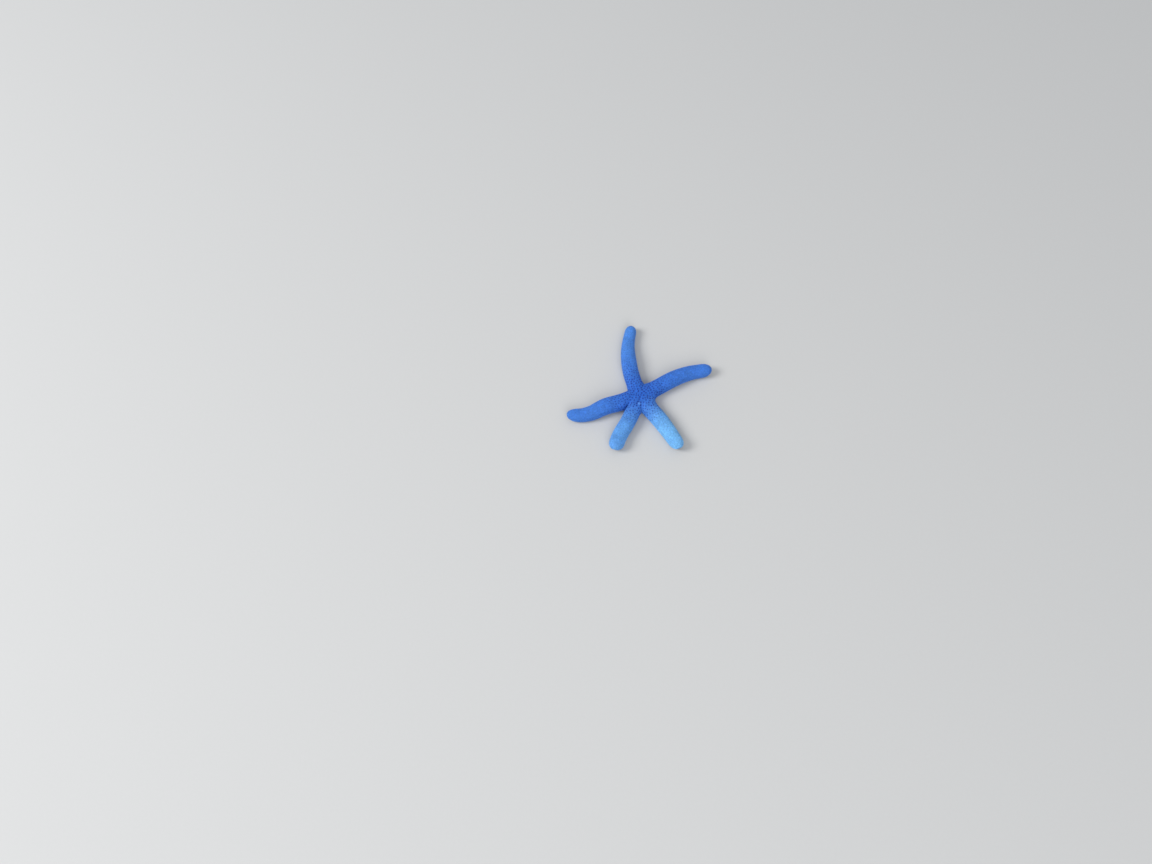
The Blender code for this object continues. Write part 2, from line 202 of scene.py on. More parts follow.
# Spines along the grooves' edges and round the mouth.
SPINES_START = 6.4 * MM
SPINES_STOP = 4.5 * MM  # from the arm's tip
INNER_SPINE_ROOT = (0.25 * MM, 1.05 * MM)  # outwards of the groove's edge, and up
INNER_SPINE_DROOP = 0.35
OUTER_SPINE_ROOT = (0.35, 0.75 * MM)  # share of the lip, and up
OUTER_SPINE_LEAN = 0.35
OUTER_SPINE_GIRTH = 1.15
OUTER_SPINE_LENGTH = 0.72 * MM
ORAL_RADIUS = 5.5 * MM
ORAL_HALF_ANGLE = math.radians(15)
ORAL_HEIGHT = 1.5 * MM
ORAL_SPINES = 6
ORAL_FAN = 0.8
ORAL_DROOP = 0.12
ORAL_LENGTH = 1.8  # over the length of a spine of the groove
ORAL_GIRTH = 1.15

# The membrane across the mouth.
MEMBRANE_REACH = 5.3 * MM
MEMBRANE_HEIGHT = 4.2 * MM
MEMBRANE_SAG = 0.9 * MM
MEMBRANE_RIM = 1.4 * MM
MEMBRANE_FOLDS = 15
MEMBRANE_FOLD = 0.10 * MM
GULLET = 0.18  # its radius over the membrane's
GULLET_DEPTH = 1.0 * MM

# Small plates in their seats.
PLATE_WALL = 0.34  # how high a seated plate's wall is, between its lowest and highest face
PLATE_SUNK = 0.35 * MM  # how much less a plate stands out where the skin lies deeper
PLATE_RIM = 0.15  # the share of a plate's radius over which its relief fades at the rim
PLATE_ROOT = 0.40 * MM  # how much deeper than its node a plate's wall reaches, into the skin

# The picture and the stage.
PICTURE_SENSOR = 36.0
CAMERA_SHIFT = Vector((-0.0942, -0.0482))  # from the disc's centre, right and up in the picture
FLOOR_SIZE = 14.0
KEY_PLACE, KEY_SIZE = (-3.5, -0.5, 3.0), 2.0
FILL_PLACE, FILL_SIZE = (0.7, -3.8, 3.0), 3.0
SKY_COLOUR = (0.93, 0.96, 1.0)

MARKS = ("along", "distance", "under", "groove", "pale", "end")


class SeaStarSizes(bpy.types.PropertyGroup):
    """Sizes of what grows on the skin."""

    coat_depth: bpy.props.FloatProperty(
        name="Coat depth", description="From the solids' surface down to the skin",
        default=0.45 * MM, unit="LENGTH", precision=5)
    granule_spacing: bpy.props.FloatProperty(
        name="Granule spacing", description="Least distance between two granules of the back",
        default=0.52 * MM, unit="LENGTH", precision=5)
    sole_granule_spacing: bpy.props.FloatProperty(
        name="Sole granule spacing", description="Least distance between two granules below",
        default=0.62 * MM, unit="LENGTH", precision=5)
    granule_height: bpy.props.FloatProperty(
        name="Granule height", description="How far a granule stands out of the skin",
        default=0.22 * MM, unit="LENGTH", precision=5)
    papula_spacing: bpy.props.FloatProperty(
        name="Papula spacing", description="Least distance between two papulae of a pore area",
        default=0.42 * MM, unit="LENGTH", precision=5)
    papula_height: bpy.props.FloatProperty(
        name="Papula height", description="How far a papula stands out of the skin",
        default=0.42 * MM, unit="LENGTH", precision=5)
    foot_pitch: bpy.props.FloatProperty(
        name="Tube foot pitch", description="Distance between two tube feet of a row",
        default=2.05 * MM, unit="LENGTH", precision=5)
    foot_radius: bpy.props.FloatProperty(
        name="Tube foot radius", description="Radius of a tube foot's stalk",
        default=0.74 * MM, unit="LENGTH", precision=5)
    spine_pitch: bpy.props.FloatProperty(
        name="Spine pitch", description="Distance between two spines along the groove",
        default=0.95 * MM, unit="LENGTH", precision=5)
    spine_length: bpy.props.FloatProperty(
        name="Spine length", description="Length of the blunt spines along the groove",
        default=1.25 * MM, unit="LENGTH", precision=5)


def colour_property(name, description, default):
    return bpy.props.FloatVectorProperty(
        name=name, description=description, default=default, size=3, min=0, max=1,
        subtype="COLOR")


class SeaStarColours(bpy.types.PropertyGroup):
    """Linear colours of the animal and its stage."""

    deep: colour_property("Deep blue", "The disc and the creases", (0.028, 0.172, 0.700))
    blue: colour_property("Blue", "The arms", (0.038, 0.195, 0.740))
    pale: colour_property("Pale blue", "The ends of the palest arms", (0.210, 0.560, 0.980))
    pore: colour_property("Pore blue", "The pore areas", (0.006, 0.026, 0.330))
    sole: colour_property("Sole blue", "The underside", (0.130, 0.300, 0.640))
    flesh: colour_property("Flesh", "The groove and the tube feet", (0.620, 0.500, 0.270))
    sucker: colour_property("Sucker", "The tube feet's suckers", (0.760, 0.670, 0.450))
    # The mouth's dark middle is painted shade in the gullet.
    mouth: colour_property("Mouth", "The middle of the mouth", (0.110, 0.070, 0.060))
    sieve: colour_property("Sieve plate", "The sieve plate's ridges", (0.105, 0.305, 0.750))
    end_plate: colour_property("End plate", "The plates at the arms' ends", (0.055, 0.230, 0.700))
    eye: colour_property("Eyespot", "The eyespots", (0.420, 0.025, 0.018))
    floor: colour_property("Floor", "The studio floor", (0.560, 0.560, 0.555))


class SeaStarStudio(bpy.types.PropertyGroup):
    """Camera and lights."""

    camera_distance: bpy.props.FloatProperty(
        name="Camera distance", description="From the camera to the plane of the disc's centre",
        default=1.853, unit="LENGTH")
    camera_elevation: bpy.props.FloatProperty(
        name="Camera elevation", description="How steeply the camera looks down",
        default=math.radians(62), subtype="ANGLE")
    camera_angle: bpy.props.FloatProperty(
        name="Camera angle", description="Angle that the picture's long side takes in",
        default=math.radians(50), subtype="ANGLE")
    key_power: bpy.props.FloatProperty(
        name="Key light", description="Power of the large light at the left",
        default=143.0, unit="POWER")
    fill_power: bpy.props.FloatProperty(
        name="Fill light", description="Power of the larger light in front",
        default=85.0, unit="POWER")
    sky: bpy.props.FloatProperty(
        name="Sky", description="Strength of the light from all round", default=0.55)


def ease(x):
    """0 to 1 with level ends."""
    x = min(max(x, 0.0), 1.0)
    return x * x * (3 - 2 * x)


def mix(a, b, share):
    return a + (b - a) * share


def direction(angle):
    return Vector((math.cos(angle), math.sin(angle), 0))


def shares(count):
    """count + 1 numbers from 0 to 1."""
    return [k / count for k in range(count + 1)]


def back_drop(x, roundness=ROUNDNESS):
    """Height of a rounded section at x of its half width, from 1 at its middle to 0 at its edge."""
    return max(1.0 - abs(x) ** roundness, 0.0) ** (1.0 / roundness)


def heading_at(arm, s):
    """The arm's heading in radians, at a distance s from the disc's centre along it."""
    free = (s - arm.cut) / (arm.length - arm.cut)
    first = ease(free / FIRST_TURN_ENDS)
    second = ease((free - SECOND_TURN_STARTS) / (SECOND_TURN_ENDS - SECOND_TURN_STARTS))
    return math.radians(arm.heading + arm.first_turn * first + arm.second_turn * second)


def axis_point(arm, s):
    """The point of the arm's middle line, on the floor."""
    steps = max(1, math.ceil(s / MM))
    point = DISC_CENTRE.copy()
    for k in range(steps):
        point += direction(heading_at(arm, (k + 0.5) * s / steps)) * (s / steps)
    return point


def half_width_at(arm, s):
    """The arm's half width, before its tip rounds off."""
    slim = ease((s / arm.length - SLIMMING_FROM) / (1 - SLIMMING_FROM))
    return arm.half_width * mix(1, arm.tip_share, slim)


def tip_reach(arm):
    """Length of the arm's rounded tip."""
    return arm.half_width * arm.tip_share * arm.tip_reach


def tip_scale(arm, s):
    """1 along the arm, falling to 0 at the end of its rounded tip."""
    reach = tip_reach(arm)
    return back_drop(max(0.0, (s - arm.length + reach) / reach), TIP_ROUNDNESS)


def lift_at(arm, s):
    """How far the sole is off the floor: 0 at the root and before the tip, where the arm rests."""
    along = s / arm.length
    arch = min(max((along - HUMP_STARTS) / (HUMP_ENDS - HUMP_STARTS), 0.0), 1.0)
    lift = ease((along - TIP_LIFTS_FROM) / (1 - TIP_LIFTS_FROM))
    return arm.hump * math.sin(math.pi * arch) ** 2 + arm.tip_lift * lift


def notch(index, side):
    """Where the notch beside arm index is, as distances along its heading and across it."""
    neighbour = (index + side) % len(ARMS)
    reach = NOTCHES[index if side > 0 else neighbour]
    between = (ARMS[neighbour].heading - ARMS[index].heading) * side % 360 / 2
    return reach * math.cos(math.radians(between)), reach * math.sin(math.radians(between))


def station_at(arm, s):
    """The station at a distance s: 0 at the centre, 1 at the disc's reach, 2 at the cut, 3 at the tip."""
    if s < DISC_REACH:
        return s / DISC_REACH
    if s < arm.cut:
        return 1 + (s - DISC_REACH) / (arm.cut - DISC_REACH)
    return 2 + (s - arm.cut) / (arm.length - arm.cut)


class Section:
    """The body across one arm at one station."""

    def __init__(self, index, station):
        self.index = index
        self.arm = arm = ARMS[index]
        self.inner = min(station, 1.0)
        self.shoulder = min(max(station - 1.0, 0.0), 1.0)
        self.free = station >= 2
        if self.free:
            self.s = mix(arm.cut, arm.length, station - 2)
        else:
            self.s = mix(self.inner * DISC_REACH, arm.cut, self.shoulder)
        self.width = half_width_at(arm, self.s)
        self.height = HEIGHT_SHARE * self.width
        self.side_height = mix(SHOULDER_SIDE, WIDEST_AT * self.height, self.shoulder)
        self.scale = tip_scale(arm, self.s)
        self.lift = lift_at(arm, self.s)
        self.slender = mix(1, GROOVE_AT_TIP, max(0, self.s - arm.cut) / (arm.length - arm.cut))
        self.groove = GROOVE_HALF_WIDTH * self.slender
        self.roof = GROOVE_DEPTH * self.slender
        self.start = axis_point(arm, self.s) if self.free else DISC_CENTRE
        self.forward = direction(heading_at(arm, self.s))
        self.left = Vector((-self.forward.y, self.forward.x, 0))

    def edge(self, side):
        """Half width on one side, and how far out along the heading that edge is."""
        if self.free:
            return self.width, self.s
        along, across = notch(self.index, side)
        if self.inner < 1:
            return across * self.inner, along * self.inner
        flare = (1 - self.shoulder) ** 2
        return mix(self.width, across, flare), mix(along, self.arm.cut, self.shoulder)

    def place(self, across, height):
        """The point at a distance across the arm, left positive, and a height over its sole."""
        half, out = self.edge(1 if across > 0 else -1)
        share = min(abs(across) / half, 1.0) if half else 0.0
        along = 0.0 if self.free else mix(self.s, out, share * share)
        height = mix(TIP_CENTRE * self.height, height, self.scale) + self.lift
        return self.start + self.forward * along + self.left * across * self.scale + Vector((0, 0, height))

    def back(self, turn):
        """A point of the back. turn runs from -1 at the right edge over the top to 1 at the left."""
        share = mix(turn, math.sin(turn * math.pi / 2), self.inner ** 6)
        level = mix(math.sin(share * math.pi / 2), share, ease(self.inner) ** 2)
        fall = back_drop(self.inner * level)
        crown = mix(DISC_HEIGHT, self.height, ease(self.inner))
        crown = mix(crown, DISC_HEIGHT, share * share * (1 - self.shoulder))
        across = share * self.edge(1 if share > 0 else -1)[0]
        return self.place(across, mix(self.side_height, crown, fall))

    def sole_marks(self, side):
        """The groove's half width, its lip and the flat sole's edge on one side."""
        half = self.edge(side)[0]
        groove = min(self.groove, GROOVE_MOST * half)
        lip = min(groove + GROOVE_LIP, LIP_MOST * half)
        return groove, lip, max(SOLE_SHARE * half, lip), half

    def open_mouth(self):
        """1 where the mouth opens in the middle of the sole, 0 elsewhere."""
        return 1 - ease((self.inner * DISC_REACH - MOUTH_RADIUS) / MOUTH_EDGE)

    def under_point(self, side, across, height):
        """A point of the underside, which the mouth lifts to the groove's roof."""
        return self.place(side * across, mix(height, self.roof, self.open_mouth()))

    def under(self, side):
        """The underside from the groove's middle out to one edge, as (point, groove, under) each."""
        groove, lip, flat, half = self.sole_marks(side)
        line = []
        for share in shares(ROOF_COLUMNS):
            x = math.sin(share * math.pi / 2)
            height = mix(GROOVE_EDGE, self.roof, back_drop(x, GROOVE_ROUNDNESS))
            line.append((groove * x, height, 1.0 if share < 1 else 0.5, 1.0))
        for share in shares(LIP_COLUMNS)[1:]:
            angle = share * math.pi / 2
            across = mix(lip, groove, math.cos(angle))
            line.append((across, GROOVE_EDGE * (1 - math.sin(angle)), 0.0, 1.0))
        for share in shares(SOLE_COLUMNS)[1:]:
            line.append((mix(lip, flat, share), 0.0, 0.0, 1.0))
        tuck = ease((self.inner - TUCK_STARTS) / (1 - TUCK_STARTS))
        for share in shares(FLANK_COLUMNS)[1:]:
            x = mix(share, math.sin(share * math.pi / 2), tuck)
            height = self.side_height * (1 - back_drop(x * tuck))
            line.append((mix(flat, half, x), height, 0.0, 1 - (x * tuck) ** 2))
        bare = self.open_mouth()
        return [(self.under_point(side, x, z), max(groove, bare), below) for x, z, groove, below in line]


def rows_of(arm):
    """Stations from the disc's centre to the arm's tip, closer together round the tip."""
    rows = shares(DISC_ROWS) + [1 + share for share in shares(SHOULDER_ROWS)[1:]]
    reach = tip_reach(arm)
    straight = arm.length - reach - arm.cut
    count = round(straight / ROW_SPACING)
    distances = [arm.cut + straight * share for share in shares(count)[1:]]
    distances += [arm.length - reach * (1 - math.sin(share * math.pi / 2)) for share in shares(TIP_ROWS)[1:]]
    return rows + [station_at(arm, s) for s in distances]


def lengths_along(points):
    """Distance along each row of points from its first, for an array of rows by columns."""
    steps = np.linalg.norm(np.diff(points, axis=1), axis=2)
    return np.concatenate([np.zeros((len(points), 1)), np.cumsum(steps, axis=1)], axis=1)


class SkinGrid:
    """The skin's points, before they are welded, with their places on the unwrap and their marks."""

    def __init__(self):
        self.points = []
        self.charts = []
        self.marks = []
        self.quads = []
        self.regions = []
        self.count = 0

    def add_strip(self, points, chart, marks, regions):
        """One strip of rows by columns. regions has one number for each row of faces."""
        rows, columns = points.shape[:2]
        grid = np.arange(rows * columns).reshape(rows, columns) + self.count
        corners = (grid[:-1, :-1], grid[:-1, 1:], grid[1:, 1:], grid[1:, :-1])
        self.quads.append(np.stack(corners, axis=2).reshape(-1, 4))
        self.regions.append(np.repeat(regions, columns - 1))
        self.points.append(points.reshape(-1, 3))
        self.charts.append(chart.reshape(-1, 2))
        self.marks.append(marks.reshape(-1, len(MARKS)))
        self.count += rows * columns

    def add_arm(self, index):
        """The three strips of one arm's sector: its back and the two halves of its underside."""
        arm = ARMS[index]
        sections = [Section(index, station) for station in rows_of(arm)]
        free = np.array([section.s >= arm.cut for section in sections[:-1]])
        turns = [1 - 2 * share for share in shares(BACK_COLUMNS)]
        distance = np.array([section.s for section in sections])
        along = distance / arm.length
        # The pale mark is partly the arm's own paler end and partly painted light, larger on the arms lit most.
        pale = arm.paleness_and_light * smooth_between(PALE_FROM, PALE_BY, along)
        end = 1 - np.array([section.scale for section in sections])
        still_open = 1 - smooth_between(*GROOVE_CLOSES, end)[:, None]
        rows = {"along": along, "distance": distance, "pale": pale, "end": end}

        back = np.array([[section.back(turn) for turn in turns] for section in sections])
        girth = lengths_along(back)
        girth = girth[:, BACK_COLUMNS // 2, None] - girth
        blank = np.zeros_like(girth)
        self.add_strip(
            back, self.chart(index, sections, girth),
            self.marks_of(rows, blank, blank),
            np.where(free, region_of(index, False), region_of(DISC, False)))
        for side in (-1, 1):
            lines = [section.under(side)[::-1] for section in sections]
            under = np.array([[spot[0] for spot in line] for line in lines])
            groove = np.array([[spot[1] for spot in line] for line in lines])
            below = np.array([[spot[2] for spot in line] for line in lines])
            edge = girth[:, 0 if side > 0 else -1, None]
            self.add_strip(
                under, self.chart(index, sections, edge + side * lengths_along(under)),
                self.marks_of(rows, below, groove * still_open),
                np.where(free, region_of(index, True), region_of(DISC, True)))

    @staticmethod
    def chart(index, sections, girth):
        """Places on the unwrap: along the arm, and round it from the crest."""
        along = np.array([section.s for section in sections])
        u = (index % CHART_COLUMNS) / CHART_COLUMNS + CHART_MARGIN + along * CHART_PER_METRE
        v = (index // CHART_COLUMNS + 0.5) / CHART_ROWS + girth * CHART_PER_METRE
        return np.stack([np.broadcast_to(u[:, None], v.shape), v], axis=2)

    @staticmethod
    def marks_of(rows, under, groove):
        """The marks in the order of MARKS. Those of rows are the same all across a row."""
        marks = {name: values[:, None] * np.ones_like(under) for name, values in rows.items()}
        marks.update(under=under, groove=groove)
        return np.stack([marks[name] for name in MARKS], axis=2)


def region_of(index, under):
    """The number of one half of a free arm, its back or its underside, or of the disc after the arms."""
    return 2 * index + under


def new_object(name, mesh):
    obj = bpy.data.objects.new(name, mesh)
    bpy.context.scene.collection.objects.link(obj)
    return obj


def set_mark(mesh, name, values):
    """Stores one number for each vertex."""
    mark = mesh.attributes.get(name) or mesh.attributes.new(name, "FLOAT", "POINT")
    mark.data.foreach_set("value", np.asarray(values, np.float32))


def mark_of(mesh, name):
    values = np.empty(len(mesh.vertices), np.float32)
    mesh.attributes[name].data.foreach_get("value", values)
    return values


def places_of(mesh):
    places = np.empty(len(mesh.vertices) * 3, np.float32)
    mesh.vertices.foreach_get("co", places)
    return places.reshape(-1, 3).astype(float)


def normals_of(mesh):
    normals = np.empty(len(mesh.vertices) * 3, np.float32)
    mesh.vertex_normals.foreach_get("vector", normals)
    return normals.reshape(-1, 3).astype(float)


def plain_skin():
    """The whole body's surface as one welded mesh, level with the solids."""
    grid = SkinGrid()
    for index in range(len(ARMS)):
        grid.add_arm(index)
    points = np.concatenate(grid.points)
    quads = np.concatenate(grid.quads)
    mesh = bpy.data.meshes.new("skin")
    mesh.from_pydata(points.tolist(), [], quads.tolist())
    unwrap = mesh.uv_layers.new(name="OFBake")
    chart = np.concatenate(grid.charts)[quads.ravel()]
    unwrap.uv.foreach_set("vector", chart.astype(np.float32).ravel())
    for name, values in zip(MARKS, np.concatenate(grid.marks).T):
        set_mark(mesh, name, values)
    region = mesh.attributes.new("region", "INT", "FACE")
    region.data.foreach_set("value", np.concatenate(grid.regions).astype(np.int32))
    bm = bmesh.new()
    bm.from_mesh(mesh)
    bmesh.ops.remove_doubles(bm, verts=bm.verts, dist=WELD)
    bmesh.ops.dissolve_degenerate(bm, dist=WELD, edges=bm.edges)
    bmesh.ops.recalc_face_normals(bm, faces=bm.faces)
    bm.to_mesh(mesh)
    bm.free()
    mesh.shade_smooth()
    return mesh


def spread(points, spacing, rng, taken=(), clear=0.0):
    """Those of the points, tried in a random order, that keep a spacing from each other."""
    guard = kd_of(taken) if len(taken) else None
    cells = {}
    chosen = []
    reach = (-1, 0, 1)
    order = list(range(len(points)))
    rng.shuffle(order)
    for index in order[:SITE_TRIES]:
        point = Vector(points[index])
        if guard and guard.find(point)[2] < clear:
            continue
        i, j, k = (math.floor(c / spacing) for c in point)
        near = [
            other for a in reach for b in reach for c in reach
            for other in cells.get((i + a, j + b, k + c), ())
        ]
        if all((point - other).length > spacing for other in near):
            cells.setdefault((i, j, k), []).append(point)
            chosen.append(point)
    return chosen


def kd_of(points):
    tree = kdtree.KDTree(len(points))
    for index, point in enumerate(points):
        tree.insert(point, index)
    tree.balance()
    return tree


def row_plates():
    """Middles of the plates that lie in regular rows: along the edges, the sole and the groove."""
    middles = []
    for index, arm in enumerate(ARMS):
        for side in (-1, 1):
            for s in np.arange(arm.cut, arm.length - arm.half_width / 2, MARGIN_PITCH):
                section = Section(index, station_at(arm, s))
                middles.append(section.back(side * MARGIN_TURN))
                _, _, flat, half = section.sole_marks(side)
                height = section.side_height * (1 - back_drop(MARGIN_SHARE))
                middles.append(section.under_point(side, mix(flat, half, MARGIN_SHARE), height))
            for s in np.arange(MOUTH_RADIUS * 2, arm.length - arm.half_width / 2, SOLE_PITCH):
                section = Section(index, station_at(arm, s))
                _, lip, flat, _ = section.sole_marks(side)
                middles += [section.under_point(side, mix(lip, flat, share), 0.0) for share in SOLE_ROWS]
    return middles


@dataclass
class Seat:
    """Where a small plate of the frame sits: its middle, its outward axis and its radius."""

    middle: Vector
    axis: Vector
    radius: float
    base: float  # height of its lowest and highest face along the axis, from the middle
    top: float


def seat_of(node):
    """Reads a small round plate's place from its CAD node, which is flatter than it is wide."""
    places = np.array([vert.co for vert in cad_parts[node].data.vertices])
    middle = (places.min(axis=0) + places.max(axis=0)) / 2
    spread_axes = np.linalg.svd(places - places.mean(axis=0), full_matrices=False)[2]
    axis = spread_axes[2]
    centre = np.array(DISC_CENTRE) + (0, 0, DISC_HEIGHT / 2)
    if axis @ (middle - centre) < 0:
        axis = -axis
    heights = (places - middle) @ axis
    across = np.linalg.norm((places - middle) - np.outer(heights, axis), axis=1)
    return Seat(Vector(middle), Vector(axis), across.max(), heights.min(), heights.max())


def small_plates():
    """The nodes that sit in the skin: the sieve plate, the end plates and the eyespots."""
    tips = [f"{kind}_{arm.name}" for kind in ("terminal_plate", "eyespot") for arm in ARMS]
    return ["madreporite"] + tips


def distances_to(points, places, number=1):
    """Distances from each place to its nearest points, and which point is the nearest."""
    tree = kd_of(points)
    found = [tree.find_n(place, number) for place in places]
    return np.array([[hit[2] for hit in hits] for hits in found]), np.array([hits[0][1] for hits in found])


def smooth_between(low, high, values):
    """0 below low, 1 above high, with level ends."""
    share = np.clip((values - low) / (high - low), 0, 1)
    return share * share * (3 - 2 * share)


def ways_out(places, normals, end):
    """The outward way at each place: its normal, or away from the tip's middle where the tip is round."""
    middles = []
    for index, arm in enumerate(ARMS):
        section = Section(index, station_at(arm, arm.length - tip_reach(arm)))
        middles.append(section.start + Vector((0, 0, section.lift + TIP_CENTRE * section.height)))
    away = places[:, None] - np.array(middles)
    nearest = np.argmin(np.linalg.norm(away, axis=2), axis=1)
    away = away[np.arange(len(places)), nearest]
    away /= np.linalg.norm(away, axis=1)[:, None]
    share = smooth_between(*TIP_TURNS, end)[:, None]
    ways = normals * (1 - share) + away * share
    return ways / np.linalg.norm(ways, axis=1)[:, None]


def detailed_skin(sizes):
    """The skin with its plates, pores and ridges, as deep under the solids' surface as the coat is."""
    rng = random.Random(SEED)
    mesh = plain_skin()
    places = places_of(mesh)
    normals = normals_of(mesh)
    along, distance, under, groove, _, end = (mark_of(mesh, name) for name in MARKS)
    seats = [seat_of(node) for node in small_plates()]
    seat_distance = np.min(
        [np.linalg.norm(places - np.array(seat.middle), axis=1) - seat.radius for seat in seats], axis=0)
    out = np.linalg.norm((places - np.array(DISC_CENTRE))[:, :2], axis=1)

    rows = row_plates()
    open_back = (under < 0.01) & (out > PORES_START) & (seat_distance > PORE_RADIUS)
    pores = spread(places[open_back], PORE_SPACING, rng, rows, PLATE_CLEAR_OF_PORE)
    plates = spread(places[under < 0.01], PLATE_SPACING, rng, pores + rows, PLATE_CLEAR_OF_PORE)
    plates += rows

    near, which = distances_to(plates, places, 2)
    seam = np.exp(-(((near[:, 1] - near[:, 0]) / 2 / PLATE_SEAM) ** 2))
    tones = np.array([rng.uniform(-1, 1) for _ in plates])
    pore_distance, which_pore = distances_to(pores, places)
    size = np.array([rng.uniform(0.8, 1.2) for _ in pores])[which_pore]
    radius = PORE_RADIUS * size * (1 + (PORE_RADIUS_AT_TIP - 1) * along)
    pore = np.exp(-((pore_distance[:, 0] / radius) ** 2)) * (under < 0.5)

    in_groove = smooth_between(0.2, 0.8, groove)
    vent = DISC_CENTRE + direction(math.radians(ARMS[1].heading)) * VENT_AT
    vent_distance = np.linalg.norm(places[:, :2] - np.array(vent)[:2], axis=1)
    vent_hole = np.exp(-((vent_distance / VENT_RADIUS) ** 2)) * (under < 0.5)
    ridges = np.cos(distance / RIDGE_PITCH * math.tau) * in_groove

    rise = PLATE_RISE * (1 - seam) * (1 - in_groove) - PORE_DEPTH * pore + RIDGE_RISE * ridges
    rise += SEAT_RISE * (1 - smooth_between(0.0, SEAT_RIM, seat_distance)) - VENT_DEPTH * vent_hole
    places += ways_out(places, normals, end) * (rise - sizes.coat_depth)[:, None]
    places[:, 2] = np.maximum(places[:, 2], SKIN_CLEAR)
    mesh.vertices.foreach_set("co", places.astype(np.float32).ravel())

    bare = np.maximum.reduce([smooth_between(0.05, 0.3, groove), (seat_distance < 0.1 * MM) * 1.0, vent_hole])
    set_mark(mesh, "pore", np.maximum(pore, vent_hole))
    set_mark(mesh, "tone", tones[which] * (1 - in_groove))
    # In the paint the seam mark darkens the dips between plates: painted shade.
    set_mark(mesh, "seam", seam * (1 - in_groove))
    set_mark(mesh, "granule_cover", (1 - bare) * (1 - 0.7 * smooth_between(0.4, 0.8, pore)))
    set_mark(mesh, "papula_cover", smooth_between(0.42, 0.55, pore) * (1 - bare))
    mesh.update()
    return mesh


class Value:
    """An output socket of a node tree. Arithmetic on it adds Math nodes."""

    def __init__(self, tree, socket):
        self.tree = tree
        self.socket = socket

    def output(self, name):
        """Another output of the same node."""
        return Value(self.tree, socket_named(self.socket.node.outputs, name))

    def __add__(self, other):
        return self.tree.math("ADD", self, other)

    def __sub__(self, other):
        return self.tree.math("SUBTRACT", self, other)

    def __mul__(self, other):
        return self.tree.math("MULTIPLY", self, other)

    def __truediv__(self, other):
        return self.tree.math("DIVIDE", self, other)

    def __rsub__(self, other):
        return self.tree.math("SUBTRACT", other, self)

    def __rtruediv__(self, other):
        return self.tree.math("DIVIDE", other, self)

    __radd__ = __add__
    __rmul__ = __mul__


def socket_named(sockets, key):
    """A socket by its number, or the one in use of those with its name."""
    if isinstance(key, int):
        return sockets[key]
    return next(socket for socket in sockets if socket.name == key and socket.enabled)


def title_of(name):
    return name.replace("_", " ").capitalize()


class Tree:
    """A node tree being built."""

    def __init__(self, nodes_of):
        self.group = nodes_of
        self.nodes = nodes_of.nodes

    def node(self, kind, settings=None, inputs=None, output=0):
        """Adds a node. Its settings are made first, because they decide which sockets are in use."""
        node = self.nodes.new(kind)
        for name, value in (settings or {}).items():
            setattr(node, name, value)
        for key, value in (inputs or {}).items():
            socket = socket_named(node.inputs, key)
            if isinstance(value, Value):
                self.group.links.new(value.socket, socket)
            else:
                socket.default_value = value
        return Value(self, socket_named(node.outputs, output)) if node.outputs else node

    def math(self, operation, *values):
        return self.node("ShaderNodeMath", {"operation": operation}, dict(enumerate(values)))

    def vector_math(self, operation, *values):
        return self.node("ShaderNodeVectorMath", {"operation": operation}, dict(enumerate(values)))


class GrowthTree(Tree):
    """A Geometry Nodes tree with named inputs."""

    def __init__(self, name):
        super().__init__(bpy.data.node_groups.new(name, "GeometryNodeTree"))
        self.group.interface.new_socket("Geometry", in_out="OUTPUT", socket_type="NodeSocketGeometry")
        self.inputs = None

    def declare(self, **kinds):
        """Adds the tree's inputs, and returns them in order."""
        for name, kind in kinds.items():
            self.group.interface.new_socket(
                title_of(name), in_out="INPUT", socket_type="NodeSocket" + kind)
        source = self.nodes.new("NodeGroupInput")
        return [Value(self, source.outputs[k]) for k in range(len(kinds))]

    def attribute(self, name, kind="FLOAT"):
        return self.node("GeometryNodeInputNamedAttribute", {"data_type": kind}, {"Name": name}, "Attribute")

    def store(self, geometry, name, value, kind="FLOAT", domain="POINT"):
        settings = {"data_type": kind, "domain": domain}
        return self.node(
            "GeometryNodeStoreNamedAttribute", settings,
            {"Geometry": geometry, "Name": name, "Value": value})

    def finish(self, instances, material):
        """Turns instances into one mesh, gives each its patch of the unwrap, and its material."""
        mesh = self.node("GeometryNodeRealizeInstances", {}, {"Geometry": instances})
        root = self.attribute("OFBake", "FLOAT_VECTOR")
        patch = self.attribute("patch", "FLOAT_VECTOR")
        place = self.vector_math("ADD", root, patch)
        mesh = self.store(mesh, "OFBake", place, "FLOAT2", "CORNER")
        mesh = self.node("GeometryNodeRemoveAttribute", {}, {"Geometry": mesh, "Name": "patch"})
        mesh = self.node("GeometryNodeSetMaterial", {}, {"Geometry": mesh, "Material": material})
        end = self.nodes.new("NodeGroupOutput")
        self.group.links.new(mesh.socket, end.inputs[0])

    def random(self, low, high, seed, salt):
        inputs = {"Min": low, "Max": high, "Seed": seed + salt}
        return self.node("FunctionNodeRandomValue", {"data_type": "FLOAT"}, inputs, "Value")

    def grow(self, obj, **values):
        """Runs the tree on an object and keeps the result as its plain mesh."""
        modifier = obj.modifiers.new(self.group.name, "NODES")
        modifier.node_group = self.group
        titled = {title_of(name): value for name, value in values.items()}
        for item in self.group.interface.items_tree:
            if item.in_out == "INPUT" and item.name in titled:
                modifier[item.identifier] = titled[item.name]
        graph = bpy.context.evaluated_depsgraph_get()
        mesh = bpy.data.meshes.new_from_object(
            obj.evaluated_get(graph), preserve_all_data_layers=True, depsgraph=graph)
        obj.modifiers.remove(modifier)
        source = obj.data
        obj.data = mesh
        mesh.name = obj.name
        if source.users == 0:
            bpy.data.meshes.remove(source)
        return obj


